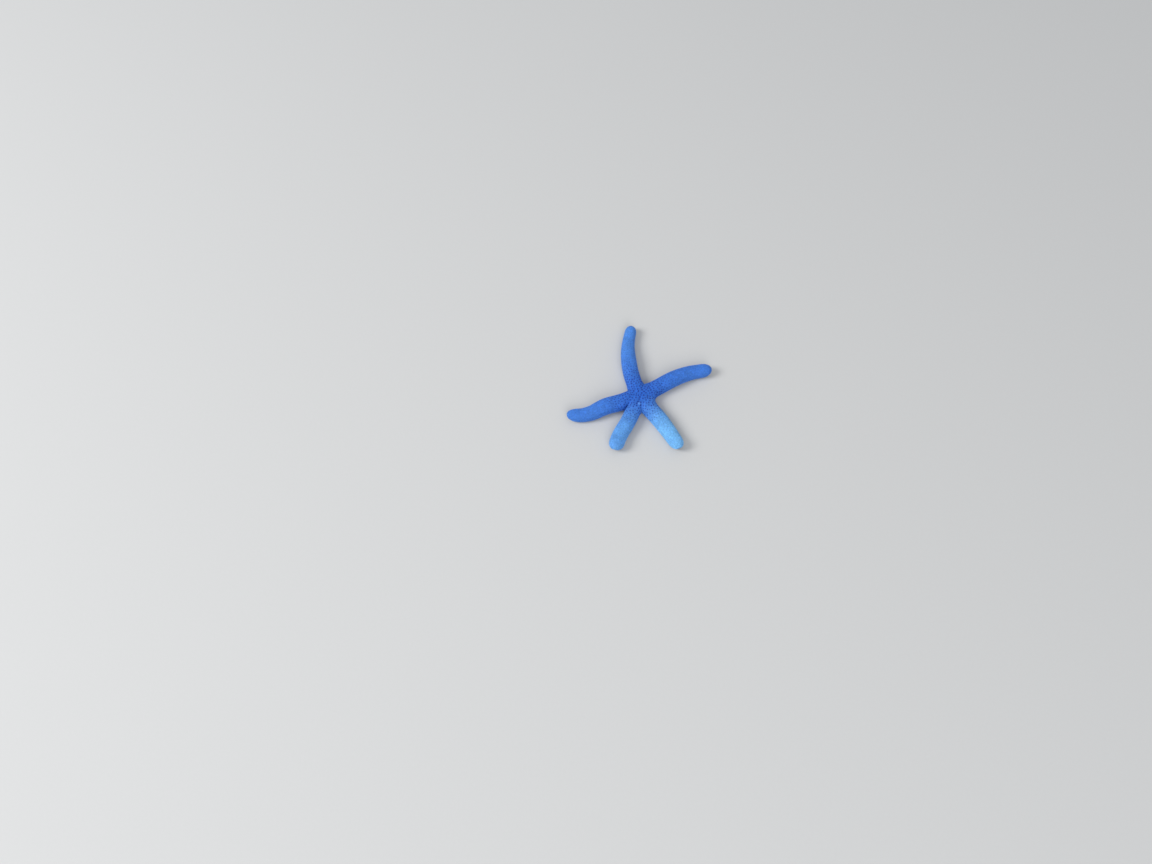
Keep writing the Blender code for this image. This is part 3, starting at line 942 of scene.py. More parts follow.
def coat_tree():
    """Grows one shape all over one region of the skin, upright on it and no closer than its spacing."""
    tree = GrowthTree("coat")
    skin, region, cover, shape, spacing, radius, height, variation, seed, material = tree.declare(
        skin="Geometry", region="Int", cover="String", shape="Object", spacing="Float",
        radius="Float", height="Float", variation="Float", seed="Int", material="Material")
    here = tree.node(
        "FunctionNodeCompare", {"data_type": "INT", "operation": "EQUAL"},
        {"A": tree.attribute("region", "INT"), "B": region})
    density = tree.attribute(cover)
    points = tree.node(
        "GeometryNodeDistributePointsOnFaces", {"distribute_method": "POISSON"},
        {"Mesh": skin, "Selection": here, "Distance Min": spacing, "Density Max": COAT_DENSITY,
         "Density Factor": density, "Seed": seed})
    upright = points.output("Rotation")
    turn = tree.node("FunctionNodeEulerToRotation", {}, {
        0: tree.node("ShaderNodeCombineXYZ", {}, {"Z": tree.random(0.0, math.tau, seed, 1)})})
    rotation = tree.node("FunctionNodeRotateRotation", {"rotation_space": "LOCAL"}, {0: upright, 1: turn})
    varied = tree.random(1 - variation, 1 + variation, seed, 2)
    wide = radius * varied
    tall = height * tree.random(1 - variation, 1 + variation, seed, 3)
    scale = tree.node("ShaderNodeCombineXYZ", {}, {"X": wide, "Y": wide, "Z": tall})
    points = tree.store(points, "grain", tree.random(-1.0, 1.0, seed, 4))
    source = tree.node("GeometryNodeObjectInfo", {}, {"Object": shape}, "Geometry")
    instances = tree.node(
        "GeometryNodeInstanceOnPoints", {},
        {"Points": points, "Instance": source, "Rotation": rotation, "Scale": scale})
    tree.finish(instances, material)
    return tree


def row_tree():
    """Sets one shape along paths, a pitch apart, each along its path's outward direction."""
    tree = GrowthTree("row")
    paths, shape, pitch, radius, variation, tilt, seed, material = tree.declare(
        paths="Geometry", shape="Object", pitch="Float", radius="Float", variation="Float",
        tilt="Float", seed="Int", material="Material")
    curve = tree.node("GeometryNodeMeshToCurve", {}, {"Mesh": paths})
    curve = tree.node(
        "GeometryNodeResampleCurve", {"mode": "LENGTH"}, {"Curve": curve, "Length": pitch})
    points = tree.node("GeometryNodeCurveToPoints", {"mode": "EVALUATED"}, {"Curve": curve})
    outward = tree.attribute("outward", "FLOAT_VECTOR")
    upright = tree.node(
        "FunctionNodeAxesToRotation", {"primary_axis": "Z", "secondary_axis": "X"},
        {"Primary Axis": outward, "Secondary Axis": points.output("Tangent")})
    lean = tree.node("ShaderNodeCombineXYZ", {}, {
        "X": tree.random(-1.0, 1.0, seed, 1) * tilt,
        "Y": tree.random(-1.0, 1.0, seed, 2) * tilt,
        "Z": tree.random(-1.0, 1.0, seed, 3) * tilt})
    turn = tree.node("FunctionNodeEulerToRotation", {}, {0: lean})
    rotation = tree.node("FunctionNodeRotateRotation", {"rotation_space": "LOCAL"}, {0: upright, 1: turn})
    wide = radius * tree.attribute("girth") * tree.random(1 - variation, 1 + variation, seed, 4)
    tall = tree.attribute("length") * tree.random(1 - variation, 1 + variation, seed, 5)
    scale = tree.node("ShaderNodeCombineXYZ", {}, {"X": wide, "Y": wide, "Z": tall})
    points = tree.store(points, "grain", tree.random(-1.0, 1.0, seed, 6))
    source = tree.node("GeometryNodeObjectInfo", {}, {"Object": shape}, "Geometry")
    instances = tree.node(
        "GeometryNodeInstanceOnPoints", {},
        {"Points": points, "Instance": source, "Rotation": rotation, "Scale": scale})
    tree.finish(instances, material)
    return tree


@dataclass(frozen=True)
class Turned:
    """A small shape turned round its own axis: its sides, and its profile as (radius, height) pairs."""

    sides: int
    profile: tuple


# Each stands on a unit radius and a unit height, and its root lies below zero, in what carries it.
GRANULE = Turned(6, ((1.0, -0.6), (0.84, 0.55), (0.0, 1.0)))
PAPULA = Turned(5, ((0.90, -0.6), (1.0, 0.35), (0.62, 0.88), (0.0, 1.0)))
SPINE = Turned(6, ((0.80, -0.25), (1.0, 0.35), (0.92, 0.75), (0.55, 0.95), (0.0, 1.0)))
TUBE_FOOT = Turned(10, ((1.0, -0.15), (0.90, 0.45), (0.84, 0.80), (1.22, 0.93), (1.0, 1.0), (0.5, 0.975), (0.0, 0.94)))


def shape_object(name, turned):
    """The shape as an object for a tree to repeat. Its marks are its height and its patch of the unwrap."""
    bm = bmesh.new()
    rings = []
    for radius, height in turned.profile:
        count = turned.sides if radius else 1
        angles = [k / turned.sides * math.tau for k in range(count)]
        rings.append([bm.verts.new(direction(a) * radius + Vector((0, 0, height))) for a in angles])
    for low, high in zip(rings, rings[1:]):
        for k in range(turned.sides):
            after = (k + 1) % turned.sides
            corners = [low[k], low[after], *((high[after], high[k]) if len(high) > 1 else high)]
            bm.faces.new(corners)
    mesh = bpy.data.meshes.new(name)
    bm.to_mesh(mesh)
    bm.free()
    mesh.shade_smooth()
    places = places_of(mesh)
    widest = max(radius for radius, _ in turned.profile)
    patch = mesh.attributes.new("patch", "FLOAT_VECTOR", "POINT")
    flat = places * (PATCH / 2 / widest, PATCH / 2 / widest, 0)
    patch.data.foreach_set("vector", flat.astype(np.float32).ravel())
    set_mark(mesh, "rise", np.clip(places[:, 2], 0, 1))
    return new_object(name, mesh)


class Path:
    """A line of points for a row, each with the way its shape points, and that shape's size."""

    def __init__(self):
        self.points = []
        self.breaks = set()
        self.outward = []
        self.sizes = []
        self.charts = []

    def add(self, point, outward, girth, length, chart):
        self.points.append(point)
        self.outward.append(outward.normalized())
        self.sizes.append((girth, length))
        self.charts.append(chart)

    def end(self):
        """The next point starts another line."""
        self.breaks.add(len(self.points) - 1)

    def to_object(self, name):
        edges = [(k, k + 1) for k in range(len(self.points) - 1) if k not in self.breaks]
        mesh = bpy.data.meshes.new(name)
        mesh.from_pydata(self.points, edges, [])
        outward = mesh.attributes.new("outward", "FLOAT_VECTOR", "POINT")
        outward.data.foreach_set("vector", np.array(self.outward, np.float32).ravel())
        chart = mesh.attributes.new("OFBake", "FLOAT2", "POINT")
        chart.data.foreach_set("vector", np.array(self.charts, np.float32).ravel())
        girths, lengths = zip(*self.sizes)
        set_mark(mesh, "girth", girths)
        set_mark(mesh, "length", lengths)
        return new_object(name, mesh)


class PaintTree(Tree):
    """The node tree of a material."""

    def __init__(self, name):
        self.material = bpy.data.materials.new(name)
        self.material.use_nodes = True
        super().__init__(self.material.node_tree)
        self.nodes.clear()
        self.place = self.node("ShaderNodeTexCoord", {}, {}, "Object")

    def attribute(self, name):
        return self.node("ShaderNodeAttribute", {"attribute_name": name}, {}, "Fac")

    def noise(self, size, detail=3.0, roughness=0.55):
        """Noise from 0 to 1, with features of about one size."""
        inputs = {"Vector": self.place, "Scale": 1 / size, "Detail": detail, "Roughness": roughness}
        return self.node("ShaderNodeTexNoise", {}, inputs)

    def blend(self, colour, other, share):
        settings = {"data_type": "RGBA", "clamp_factor": True}
        inputs = {"A": rgba(colour), "B": rgba(other), "Factor": share}
        return self.node("ShaderNodeMix", settings, inputs, "Result")

    def shade(self, colour, factor):
        """The colour, made lighter or darker."""
        scaled = {"Vector": colour, "Scale": factor}
        return self.node("ShaderNodeVectorMath", {"operation": "SCALE"}, scaled)

    def step(self, value, low, high):
        """0 below low and 1 above high, with level ends."""
        inputs = {"Value": value, "From Min": low, "From Max": high}
        return self.node("ShaderNodeMapRange", {"interpolation_type": "SMOOTHSTEP"}, inputs)

    def finish(self, colour, roughness, height, depth, **constants):
        """The shader. height drives its bump, and the constants go on its own sockets."""
        bump = self.node("ShaderNodeBump", {}, {"Height": height, "Distance": depth, "Strength": 1.0})
        inputs = {"Base Color": colour, "Roughness": roughness, "Normal": bump}
        inputs.update({title.replace("_", " "): value for title, value in constants.items()})
        shader = self.node("ShaderNodeBsdfPrincipled", {}, inputs)
        self.node("ShaderNodeOutputMaterial", {}, {"Surface": shader})
        return self.material


def rgba(colour):
    return colour if isinstance(colour, Value) else (*colour, 1.0)


def pore_darkness(tree):
    """How dark the pore areas are: most on the disc, and little past the middle of an arm."""
    return 1.0 - 0.8 * tree.step(tree.attribute("along"), 0.10, 0.60)


def markings(tree, colours):
    """The animal's own colours, which its skin and all that grows on it share."""
    along, under, groove = (tree.attribute(name) for name in ("along", "under", "groove"))
    pale, pore, tone, seam = (tree.attribute(name) for name in ("pale", "pore", "tone", "seam"))
    clouds = tree.noise(11 * MM, 2.0)
    colour = tree.blend(colours.deep, colours.blue, tree.step(along, 0.05, 0.40))
    # Pale arm ends: partly the animal's own colour, partly painted light on the arms lit most.
    colour = tree.blend(colour, colours.pale, pale * (0.75 + 0.5 * clouds))
    colour = tree.blend(colour, colours.sole, under * 0.85)
    # Darker in the dips between plates: painted shade. Tone and clouds are the animal's own mottling.
    colour = tree.shade(colour, 0.96 + 0.09 * tone - 0.13 * seam + 0.12 * clouds)
    colour = tree.blend(colour, colours.pore, tree.step(pore, 0.12, 0.46) * pore_darkness(tree))
    return tree.blend(colour, colours.flesh, groove)


SOFT_SHINE = {"IOR": 1.40, "Sheen_Weight": 0.04, "Sheen_Roughness": 0.4}


def skin_paint(colours):
    tree = PaintTree("star_skin")
    grain = tree.noise(0.25 * MM, 2.0)
    # The skin between the granules is painted darker, as painted shade between them. Grain is its own fine texture.
    colour = tree.shade(markings(tree, colours), 0.62 + 0.25 * grain)
    return tree.finish(colour, 0.55 + 0.2 * grain, grain, 0.05 * MM, **SOFT_SHINE)


def granule_paint(colours):
    tree = PaintTree("star_granules")
    rise, grain = tree.attribute("rise"), tree.attribute("grain")
    fine = tree.noise(0.12 * MM, 2.0)
    # Darker at a granule's foot and lighter at its top: painted shade and painted light. Grain is each granule's own
    # tone.
    colour = tree.shade(markings(tree, colours), 0.72 + 0.30 * rise + 0.07 * grain)
    return tree.finish(colour, 0.46 + 0.2 * fine, fine, 0.02 * MM, **SOFT_SHINE)


def papula_paint(colours):
    tree = PaintTree("star_papulae")
    rise, grain = tree.attribute("rise"), tree.attribute("grain")
    fine = tree.noise(0.10 * MM, 2.0)
    # Paler towards a papula's tip and darker at its root: painted light through the thin tip and painted shade at the
    # root.
    dark = (0.85 - 0.35 * rise - 0.1 * grain) * pore_darkness(tree)
    colour = tree.blend(markings(tree, colours), colours.pore, dark)
    return tree.finish(colour, 0.38 + 0.15 * fine, fine, 0.02 * MM, **SOFT_SHINE)


def foot_paint(colours):
    tree = PaintTree("tube_foot_flesh")
    rise, grain = tree.attribute("rise"), tree.attribute("grain")
    fine = tree.noise(0.3 * MM, 3.0)
    colour = tree.blend(colours.flesh, colours.sucker, tree.step(rise, 0.7, 0.95))
    colour = tree.shade(colour, 0.85 + 0.12 * grain + 0.2 * fine)
    return tree.finish(colour, 0.35 + 0.2 * fine, fine, 0.03 * MM, IOR=1.4)


def spine_paint(colours):
    tree = PaintTree("groove_spines")
    rise, grain = tree.attribute("rise"), tree.attribute("grain")
    fine = tree.noise(0.2 * MM, 3.0)
    colour = tree.blend(colours.sole, colours.flesh, 0.25 + 0.6 * rise)
    colour = tree.shade(colour, 0.85 + 0.10 * grain + 0.2 * fine)
    return tree.finish(colour, 0.5 + 0.2 * fine, fine, 0.02 * MM, IOR=1.42)


def mouth_paint(colours):
    tree = PaintTree("mouth_membrane")
    fine = tree.noise(0.4 * MM, 3.0)
    # Dark in the middle: painted shade in the gullet, fading to flesh at the rim.
    colour = tree.blend(colours.mouth, colours.flesh, tree.step(tree.attribute("rise"), 0.12, 0.55))
    colour = tree.shade(colour, 0.8 + 0.4 * fine)
    return tree.finish(colour, 0.35 + 0.2 * fine, fine, 0.05 * MM, IOR=1.4)


def plate_paint(name, low, high):
    """A hard plate's colours, from its furrows to its ridges. The darker furrow colour is painted shade."""
    tree = PaintTree(name)
    fine = tree.noise(0.15 * MM, 3.0)
    colour = tree.shade(tree.blend(low, high, tree.attribute("ridge")), 0.88 + 0.24 * fine)
    return tree.finish(colour, 0.42 + 0.2 * fine, fine, 0.02 * MM, IOR=1.5)


def finish_piece(obj, slot, *nodes):
    """Rides on the frame, and stands for the nodes it hides. Its slot is not used."""
    places = places_of(obj.data)
    places[:, 2] = np.maximum(places[:, 2], FLOOR_CLEAR)
    obj.data.vertices.foreach_set("co", places.astype(np.float32).ravel())
    obj.data.update()
    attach(obj, BODY)
    if nodes:
        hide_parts(*nodes)
    return obj


def skin_object():
    skin = bpy.data.objects.get("skin")
    if skin is None:
        raise RuntimeError("make the skin first")
    return skin


def coat_regions():
    """Each region of the skin by the name of its coat, its number and whether it is below."""
    names = [arm.name for arm in ARMS] + ["disc"]
    for index, name in enumerate(names):
        yield f"{name}_back", region_of(index, False), False
        yield f"{name}_sole", region_of(index, True), True


class SEASTAR_OT_skin(bpy.types.Operator):
    """Make the one skin of the disc and the arms"""

    bl_idname = "sea_star.skin"
    bl_label = "Skin"

    def execute(self, context):
        flesh = ["disc"] + [f"arm_{arm.name}_{part}" for arm in ARMS for part in LENGTHS]
        skin = new_object("skin", detailed_skin(context.scene.sea_star_sizes))
        skin.data.materials.append(skin_paint(context.scene.sea_star_colours))
        finish_piece(skin, "skin", *flesh)
        return {"FINISHED"}


class SEASTAR_OT_granules(bpy.types.Operator):
    """Cover the skin with granules"""

    bl_idname = "sea_star.granules"
    bl_label = "Granules"

    def execute(self, context):
        sizes = context.scene.sea_star_sizes
        skin = skin_object()
        tree = coat_tree()
        paint = granule_paint(context.scene.sea_star_colours)
        shape = shape_object("granule", GRANULE)
        for name, region, below in coat_regions():
            spacing = sizes.sole_granule_spacing if below else sizes.granule_spacing
            fill = SOLE_GRANULE_FILL if below else GRANULE_FILL
            coat = new_object(f"granules_{name}", skin.data)
            tree.grow(
                coat, region=region, cover="granule_cover", shape=shape, spacing=spacing,
                radius=spacing * fill, height=sizes.granule_height, variation=0.16,
                seed=SEED + region, material=paint)
            finish_piece(coat, "skin")
        remove_shape(shape)
        return {"FINISHED"}


def remove_shape(shape):
    mesh = shape.data
    bpy.data.objects.remove(shape)
    bpy.data.meshes.remove(mesh)


class SEASTAR_OT_papulae(bpy.types.Operator):
    """Grow the soft papulae in the pore areas"""

    bl_idname = "sea_star.papulae"
    bl_label = "Papulae"

    def execute(self, context):
        sizes = context.scene.sea_star_sizes
        skin = skin_object()
        tree = coat_tree()
        paint = papula_paint(context.scene.sea_star_colours)
        shape = shape_object("papula", PAPULA)
        for name, region, below in coat_regions():
            if below:
                continue
            coat = new_object(f"papulae_{name}", skin.data)
            tree.grow(
                coat, region=region, cover="papula_cover", shape=shape,
                spacing=sizes.papula_spacing, radius=sizes.papula_spacing * PAPULA_FILL,
                height=sizes.papula_height, variation=0.25, seed=SEED + region, material=paint)
            finish_piece(coat, "skin")
        remove_shape(shape)
        return {"FINISHED"}


def chart_at(index, s):
    """The unwrap's place of the groove's edge at a distance s along an arm."""
    u = (index % CHART_COLUMNS) / CHART_COLUMNS + CHART_MARGIN + s * CHART_PER_METRE
    return u, (index // CHART_COLUMNS + CHART_EDGE) / CHART_ROWS


def distances(start, stop, step):
    return np.linspace(start, stop, max(2, round((stop - start) / step) + 1))


def foot_paths(pitch):
    """Two staggered rows of tube feet in each groove."""
    path = Path()
    for index, arm in enumerate(ARMS):
        for side in (-1, 1):
            start = FEET_START + (pitch / 2 if side > 0 else 0)
            for s in distances(start, arm.length - FEET_STOP, PATH_STEP):
                section = Section(index, station_at(arm, s))
                root = section.place(side * FOOT_ROW * section.slender, section.roof + FOOT_SUNK)
                down = Vector((0, 0, -1)) + section.left * side * FOOT_SPLAY
                reach = (root.z - FOOT_CLEAR) / (1 + FOOT_VARIES)
                length = min(reach, FOOT_MOST * section.slender + FOOT_SUNK)
                path.add(root, down, section.slender, length, chart_at(index, s))
            path.end()
    return path.to_object("tube_feet")


class SEASTAR_OT_tube_feet(bpy.types.Operator):
    """Set the tube feet in the grooves"""

    bl_idname = "sea_star.tube_feet"
    bl_label = "Tube Feet"

    def execute(self, context):
        sizes = context.scene.sea_star_sizes
        shape = shape_object("foot", TUBE_FOOT)
        feet = foot_paths(sizes.foot_pitch)
        row_tree().grow(
            feet, shape=shape, pitch=sizes.foot_pitch, radius=sizes.foot_radius, variation=FOOT_VARIES,
            tilt=0.22, seed=SEED, material=foot_paint(context.scene.sea_star_colours))
        remove_shape(shape)
        finish_piece(feet, "skin")
        return {"FINISHED"}


def spine_paths(length):
    """A row of spines on each edge of each groove, one of blunter ones beside it, and those of the mouth."""
    path = Path()
    for index, arm in enumerate(ARMS):
        for side in (-1, 1):
            for row in (0, 1):
                for s in distances(SPINES_START, arm.length - SPINES_STOP, PATH_STEP):
                    section = Section(index, station_at(arm, s))
                    groove, lip, _, _ = section.sole_marks(side)
                    inward = section.left * -side
                    if row == 0:
                        root = section.under_point(side, groove + INNER_SPINE_ROOT[0], INNER_SPINE_ROOT[1])
                        way = inward - Vector((0, 0, INNER_SPINE_DROOP))
                        path.add(root, way, 1.0, length * section.slender, chart_at(index, s))
                    else:
                        across = mix(groove, lip, OUTER_SPINE_ROOT[0])
                        root = section.under_point(side, across, OUTER_SPINE_ROOT[1])
                        way = inward * OUTER_SPINE_LEAN - Vector((0, 0, 1))
                        path.add(root, way, OUTER_SPINE_GIRTH, OUTER_SPINE_LENGTH, chart_at(index, s))
                path.end()
    for index, arm in enumerate(ARMS):
        after = ARMS[(index + 1) % len(ARMS)]
        middle = math.radians(arm.heading + (after.heading - arm.heading) % 360 / 2)
        for share in shares(ORAL_SPINES):
            way = direction(middle + mix(-ORAL_HALF_ANGLE, ORAL_HALF_ANGLE, share))
            root = DISC_CENTRE + way * ORAL_RADIUS + Vector((0, 0, ORAL_HEIGHT))
            inward = -direction(middle) + (way - direction(middle)) * ORAL_FAN - Vector((0, 0, ORAL_DROOP))
            path.add(root, inward, ORAL_GIRTH, length * ORAL_LENGTH, chart_at(index, ORAL_RADIUS))
        path.end()
    return path.to_object("groove_spines")


class SEASTAR_OT_spines(bpy.types.Operator):
    """Line the grooves and the mouth with blunt spines"""

    bl_idname = "sea_star.spines"
    bl_label = "Groove Spines"

    def execute(self, context):
        sizes = context.scene.sea_star_sizes
        shape = shape_object("spine", SPINE)
        spines = spine_paths(sizes.spine_length)
        row_tree().grow(
            spines, shape=shape, pitch=sizes.spine_pitch, radius=sizes.spine_pitch * 0.42,
            variation=0.14, tilt=0.14, seed=SEED, material=spine_paint(context.scene.sea_star_colours))
        remove_shape(shape)
        finish_piece(spines, "skin")
        return {"FINISHED"}


def membrane_height(radius, angle):
    """The membrane sags to a puckered lip round the gullet, and rises into it and to its rim."""
    lip = math.exp(-(((radius - 1.7 * GULLET) / GULLET) ** 2))
    gullet = math.exp(-((radius / GULLET) ** 2))
    folds = math.cos(MEMBRANE_FOLDS * angle) * MEMBRANE_FOLD * ease(radius / 0.5) * (1 - radius)
    return (
        MEMBRANE_HEIGHT - MEMBRANE_SAG * lip + GULLET_DEPTH * gullet + MEMBRANE_RIM * radius ** 4 + folds)


def disc_mesh(name, rings, sectors, point_at, mark, mark_at):
    """A round sheet in rings, from point_at(radius, angle), with radius from 0 to 1."""
    bm = bmesh.new()
    layer = bm.verts.layers.float.new(mark)
    lines = []
    for ring in range(rings + 1):
        line = []
        for sector in range(sectors if ring else 1):
            radius, angle = ring / rings, sector / sectors * math.tau
            vert = bm.verts.new(point_at(radius, angle))
            vert[layer] = mark_at(radius, angle)
            line.append(vert)
        lines.append(line)
    for low, high in zip(lines, lines[1:]):
        for k in range(sectors):
            after = (k + 1) % sectors
            inner = low if len(low) == 1 else (low[k], low[after])
            bm.faces.new((*inner, high[after], high[k]))
    bmesh.ops.recalc_face_normals(bm, faces=bm.faces)
    return bm


def object_of(bm, name, material):
    mesh = bpy.data.meshes.new(name)
    bm.to_mesh(mesh)
    bm.free()
    mesh.shade_smooth()
    mesh.materials.append(material)
    return new_object(name, mesh)


class SEASTAR_OT_mouth(bpy.types.Operator):
    """Stretch the membrane across the mouth"""

    bl_idname = "sea_star.mouth"
    bl_label = "Mouth"

    def execute(self, context):
        def point_at(radius, angle):
            height = Vector((0, 0, membrane_height(radius, angle)))
            return DISC_CENTRE + direction(angle) * radius * MEMBRANE_REACH + height

        bm = disc_mesh("mouth", 40, 90, point_at, "rise", lambda radius, angle: radius)
        for face in bm.faces:
            if face.normal.z > 0:
                face.normal_flip()
        mouth = object_of(bm, "mouth", mouth_paint(context.scene.sea_star_colours))
        finish_piece(mouth, "skin")
        return {"FINISHED"}


def seated_plate(name, node, rings, sectors, relief, depth, paint):
    """A domed round plate in a node's seat. relief gives 0 in a furrow and 1 on a ridge."""
    seat = seat_of(node)
    turn = seat.axis.to_track_quat("Z", "Y").to_matrix()
    top = seat.top - PLATE_SUNK

    def local(radius, angle):
        dome = mix(seat.base, top, mix(PLATE_WALL, 1.0, back_drop(radius, 2.0)))
        return direction(angle) * radius * seat.radius + Vector((0, 0, dome))

    def ridge_at(radius, angle):
        return relief(local(radius, angle) / MM, radius)

    def point_at(radius, angle):
        shallow = ease((1 - radius) / PLATE_RIM)
        sunk = Vector((0, 0, (1 - ridge_at(radius, angle)) * depth * shallow))
        return seat.middle + turn @ (local(radius, angle) - sunk)

    bm = disc_mesh(name, rings, sectors, point_at, "ridge", ridge_at)
    rim = [edge for edge in bm.edges if edge.is_boundary]
    wall = bmesh.ops.extrude_edge_only(bm, edges=rim)["geom"]
    verts = [item for item in wall if isinstance(item, bmesh.types.BMVert)]
    drop = seat.axis * (mix(seat.base, top, PLATE_WALL) - seat.base + PLATE_ROOT)
    bmesh.ops.translate(bm, verts=verts, vec=-drop)
    bmesh.ops.holes_fill(bm, edges=[edge for edge in bm.edges if edge.is_boundary])
    bmesh.ops.recalc_face_normals(bm, faces=bm.faces)
    plate = object_of(bm, name, paint)
    plate.data.set_sharp_from_angle(angle=math.radians(60))
    return plate


def sieve_relief(point, radius):
    """Winding ridges that fan out over the sieve plate."""
    folds = noise.noise(Vector((point.x, point.y, 0)) * 1.25 + Vector((3.1, 0.7, 0)))
    folds += 0.35 * noise.noise(Vector((point.x, point.y, 4.0)) * 2.6)
    lines = abs(math.sin(folds * 9.0 + radius * 7.0))
    return ease(lines * 1.25)


def lenses(point, spacing):
    """0 to 1: round bumps in a honeycomb, for a point and a spacing in millimetres."""
    wave = math.tau / (spacing * math.cos(math.pi / 6))
    ways = [direction(k * math.pi / 3) for k in range(3)]
    return (1.5 + sum(math.cos(wave * (way.x * point.x + way.y * point.y)) for way in ways)) / 4.5


def end_relief(point, radius):
    """Low grains that run together, lower near the rim."""
    strayed = point + noise.noise_vector(point * 1.1) * 0.35
    return mix(0.45, lenses(strayed, 0.62), ease((1 - radius) * 3))


def eye_relief(point, radius):
    """Small lenses, side by side."""
    return lenses(point, 0.34)


class SEASTAR_OT_sieve_plate(bpy.types.Operator):
    """Set the sieve plate beside its crease"""

    bl_idname = "sea_star.sieve_plate"
    bl_label = "Sieve Plate"

    def execute(self, context):
        colours = context.scene.sea_star_colours
        # The furrows take the deep blue: painted shade.
        paint = plate_paint("sieve_plate", colours.deep, colours.sieve)
        plate = seated_plate("sieve_plate", "madreporite", 34, 110, sieve_relief, 0.15 * MM, paint)
        finish_piece(plate, "sieve_plate", "madreporite")
        return {"FINISHED"}


class SEASTAR_OT_end_plates(bpy.types.Operator):
    """Set the end plate on each arm"""

    bl_idname = "sea_star.end_plates"
    bl_label = "End Plates"

    def execute(self, context):
        colours = context.scene.sea_star_colours
        for arm in ARMS:
            # An end plate follows its arm's paleness, which is partly painted light.
            tint = [mix(*pair, arm.paleness_and_light) for pair in zip(colours.end_plate, colours.pale)]
            # Furrows at 0.6 of the plate's colour: painted shade.
            paint = plate_paint(f"end_plate_{arm.name}", [0.6 * c for c in tint], tint)
            node = f"terminal_plate_{arm.name}"
            plate = seated_plate(f"end_plate_{arm.name}", node, 22, 72, end_relief, 0.10 * MM, paint)
            finish_piece(plate, "end_plate", node)
        return {"FINISHED"}


class SEASTAR_OT_eyespots(bpy.types.Operator):
    """Set the red eyespot below each end plate"""

    bl_idname = "sea_star.eyespots"
    bl_label = "Eyespots"

    def execute(self, context):
        colours = context.scene.sea_star_colours
        # Furrows at 0.4 of the eyespot's colour: painted shade.
        paint = plate_paint("eyespot", [0.4 * c for c in colours.eye], colours.eye)
        for arm in ARMS:
            node = f"eyespot_{arm.name}"
            spot = seated_plate(f"eye_{arm.name}", node, 12, 40, eye_relief, 0.05 * MM, paint)
            finish_piece(spot, "eyespot", node)
        return {"FINISHED"}


def area_light(name, place, size, power):
    light = bpy.data.lights.new(name, "AREA")
    light.size = size
    light.energy = power
    obj = bpy.data.objects.new(name, light)
    obj.location = place
    obj.rotation_mode = "QUATERNION"
    obj.rotation_quaternion = (Vector(place) - DISC_CENTRE).to_track_quat("Z", "Y")
    bpy.context.scene.collection.objects.link(obj)


def make_camera(studio):
    """The camera looks down at the disc, which lies off the middle of the picture."""
    tilt = studio.camera_elevation
    up = Vector((0, math.sin(tilt), math.cos(tilt)))
    back = Vector((0, -math.cos(tilt), math.sin(tilt)))
    camera = bpy.data.cameras.new("camera")
    camera.sensor_width = PICTURE_SENSOR
    camera.lens = PICTURE_SENSOR / 2 / math.tan(studio.camera_angle / 2)
    camera.clip_start, camera.clip_end = 0.01, 100
    obj = bpy.data.objects.new("camera", camera)
    obj.location = (
        DISC_CENTRE + Vector((CAMERA_SHIFT.x, 0, 0)) + up * CAMERA_SHIFT.y + back * studio.camera_distance)
    obj.rotation_mode = "QUATERNION"
    obj.rotation_quaternion = back.to_track_quat("Z", "Y")
    bpy.context.scene.collection.objects.link(obj)
    bpy.context.scene.camera = obj


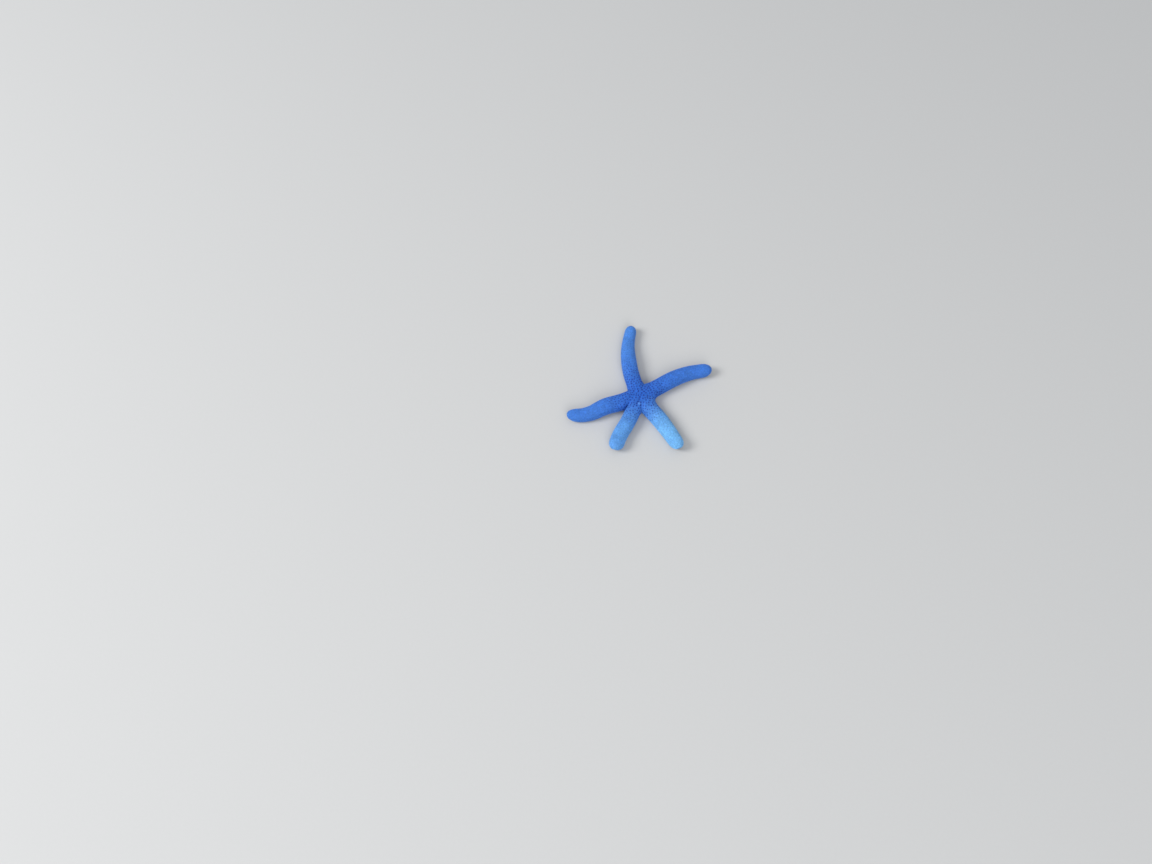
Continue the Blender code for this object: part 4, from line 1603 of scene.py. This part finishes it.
class SEASTAR_OT_studio(bpy.types.Operator):
    """Set up the floor, the lights and the camera"""

    bl_idname = "sea_star.studio"
    bl_label = "Studio"

    def execute(self, context):
        scene = context.scene
        studio, colours = scene.sea_star_studio, scene.sea_star_colours
        tree = PaintTree("studio_floor")
        grain = tree.noise(4 * MM, 2.0)
        paint = tree.finish(
            tree.shade(colours.floor, 0.985 + 0.03 * grain), 0.8 + 0.1 * grain, grain, 0.02 * MM)
        bm = bmesh.new()
        bmesh.ops.create_grid(bm, x_segments=1, y_segments=1, size=FLOOR_SIZE / 2)
        object_of(bm, "floor", paint)
        area_light("key_light", KEY_PLACE, KEY_SIZE, studio.key_power)
        area_light("fill_light", FILL_PLACE, FILL_SIZE, studio.fill_power)
        world = bpy.data.worlds.new("studio")
        world.use_nodes = True
        background = world.node_tree.nodes["Background"]
        background.inputs["Color"].default_value = rgba(SKY_COLOUR)
        background.inputs["Strength"].default_value = studio.sky
        scene.world = world
        scene.view_settings.view_transform = "Standard"
        make_camera(studio)
        return {"FINISHED"}


class SEASTAR_PT_panel(bpy.types.Panel):
    """Lists the sea star's sizes, colours and pieces"""

    bl_idname = "SEASTAR_PT_panel"
    bl_label = "Sea Star"
    bl_space_type = "VIEW_3D"
    bl_region_type = "UI"
    bl_category = "Sea Star"

    def draw(self, context):
        for maker in MAKERS:
            self.layout.operator(maker.bl_idname)
        for group_name in GROUPS:
            group = getattr(context.scene, group_name)
            box = self.layout.box()
            for name in group.bl_rna.properties.keys():
                if name not in ("rna_type", "name"):
                    box.prop(group, name)


MAKERS = (
    SEASTAR_OT_studio, SEASTAR_OT_skin, SEASTAR_OT_granules, SEASTAR_OT_papulae,
    SEASTAR_OT_tube_feet, SEASTAR_OT_spines, SEASTAR_OT_mouth, SEASTAR_OT_sieve_plate,
    SEASTAR_OT_end_plates, SEASTAR_OT_eyespots)
GROUPS = {
    "sea_star_sizes": SeaStarSizes, "sea_star_colours": SeaStarColours, "sea_star_studio": SeaStarStudio}


def register():
    for cls in (*GROUPS.values(), *MAKERS, SEASTAR_PT_panel):
        bpy.utils.register_class(cls)
    for name, group in GROUPS.items():
        setattr(bpy.types.Scene, name, bpy.props.PointerProperty(type=group))


def unregister():
    for name in GROUPS:
        delattr(bpy.types.Scene, name)
    for cls in (SEASTAR_PT_panel, *reversed(MAKERS), *GROUPS.values()):
        bpy.utils.unregister_class(cls)


def main():
    register()
    bpy.ops.sea_star.studio()
    bpy.ops.sea_star.skin()
    bpy.ops.sea_star.granules()
    bpy.ops.sea_star.papulae()
    bpy.ops.sea_star.tube_feet()
    bpy.ops.sea_star.spines()
    bpy.ops.sea_star.mouth()
    bpy.ops.sea_star.sieve_plate()
    bpy.ops.sea_star.end_plates()
    bpy.ops.sea_star.eyespots()


if __name__ == "__main__":
    main()
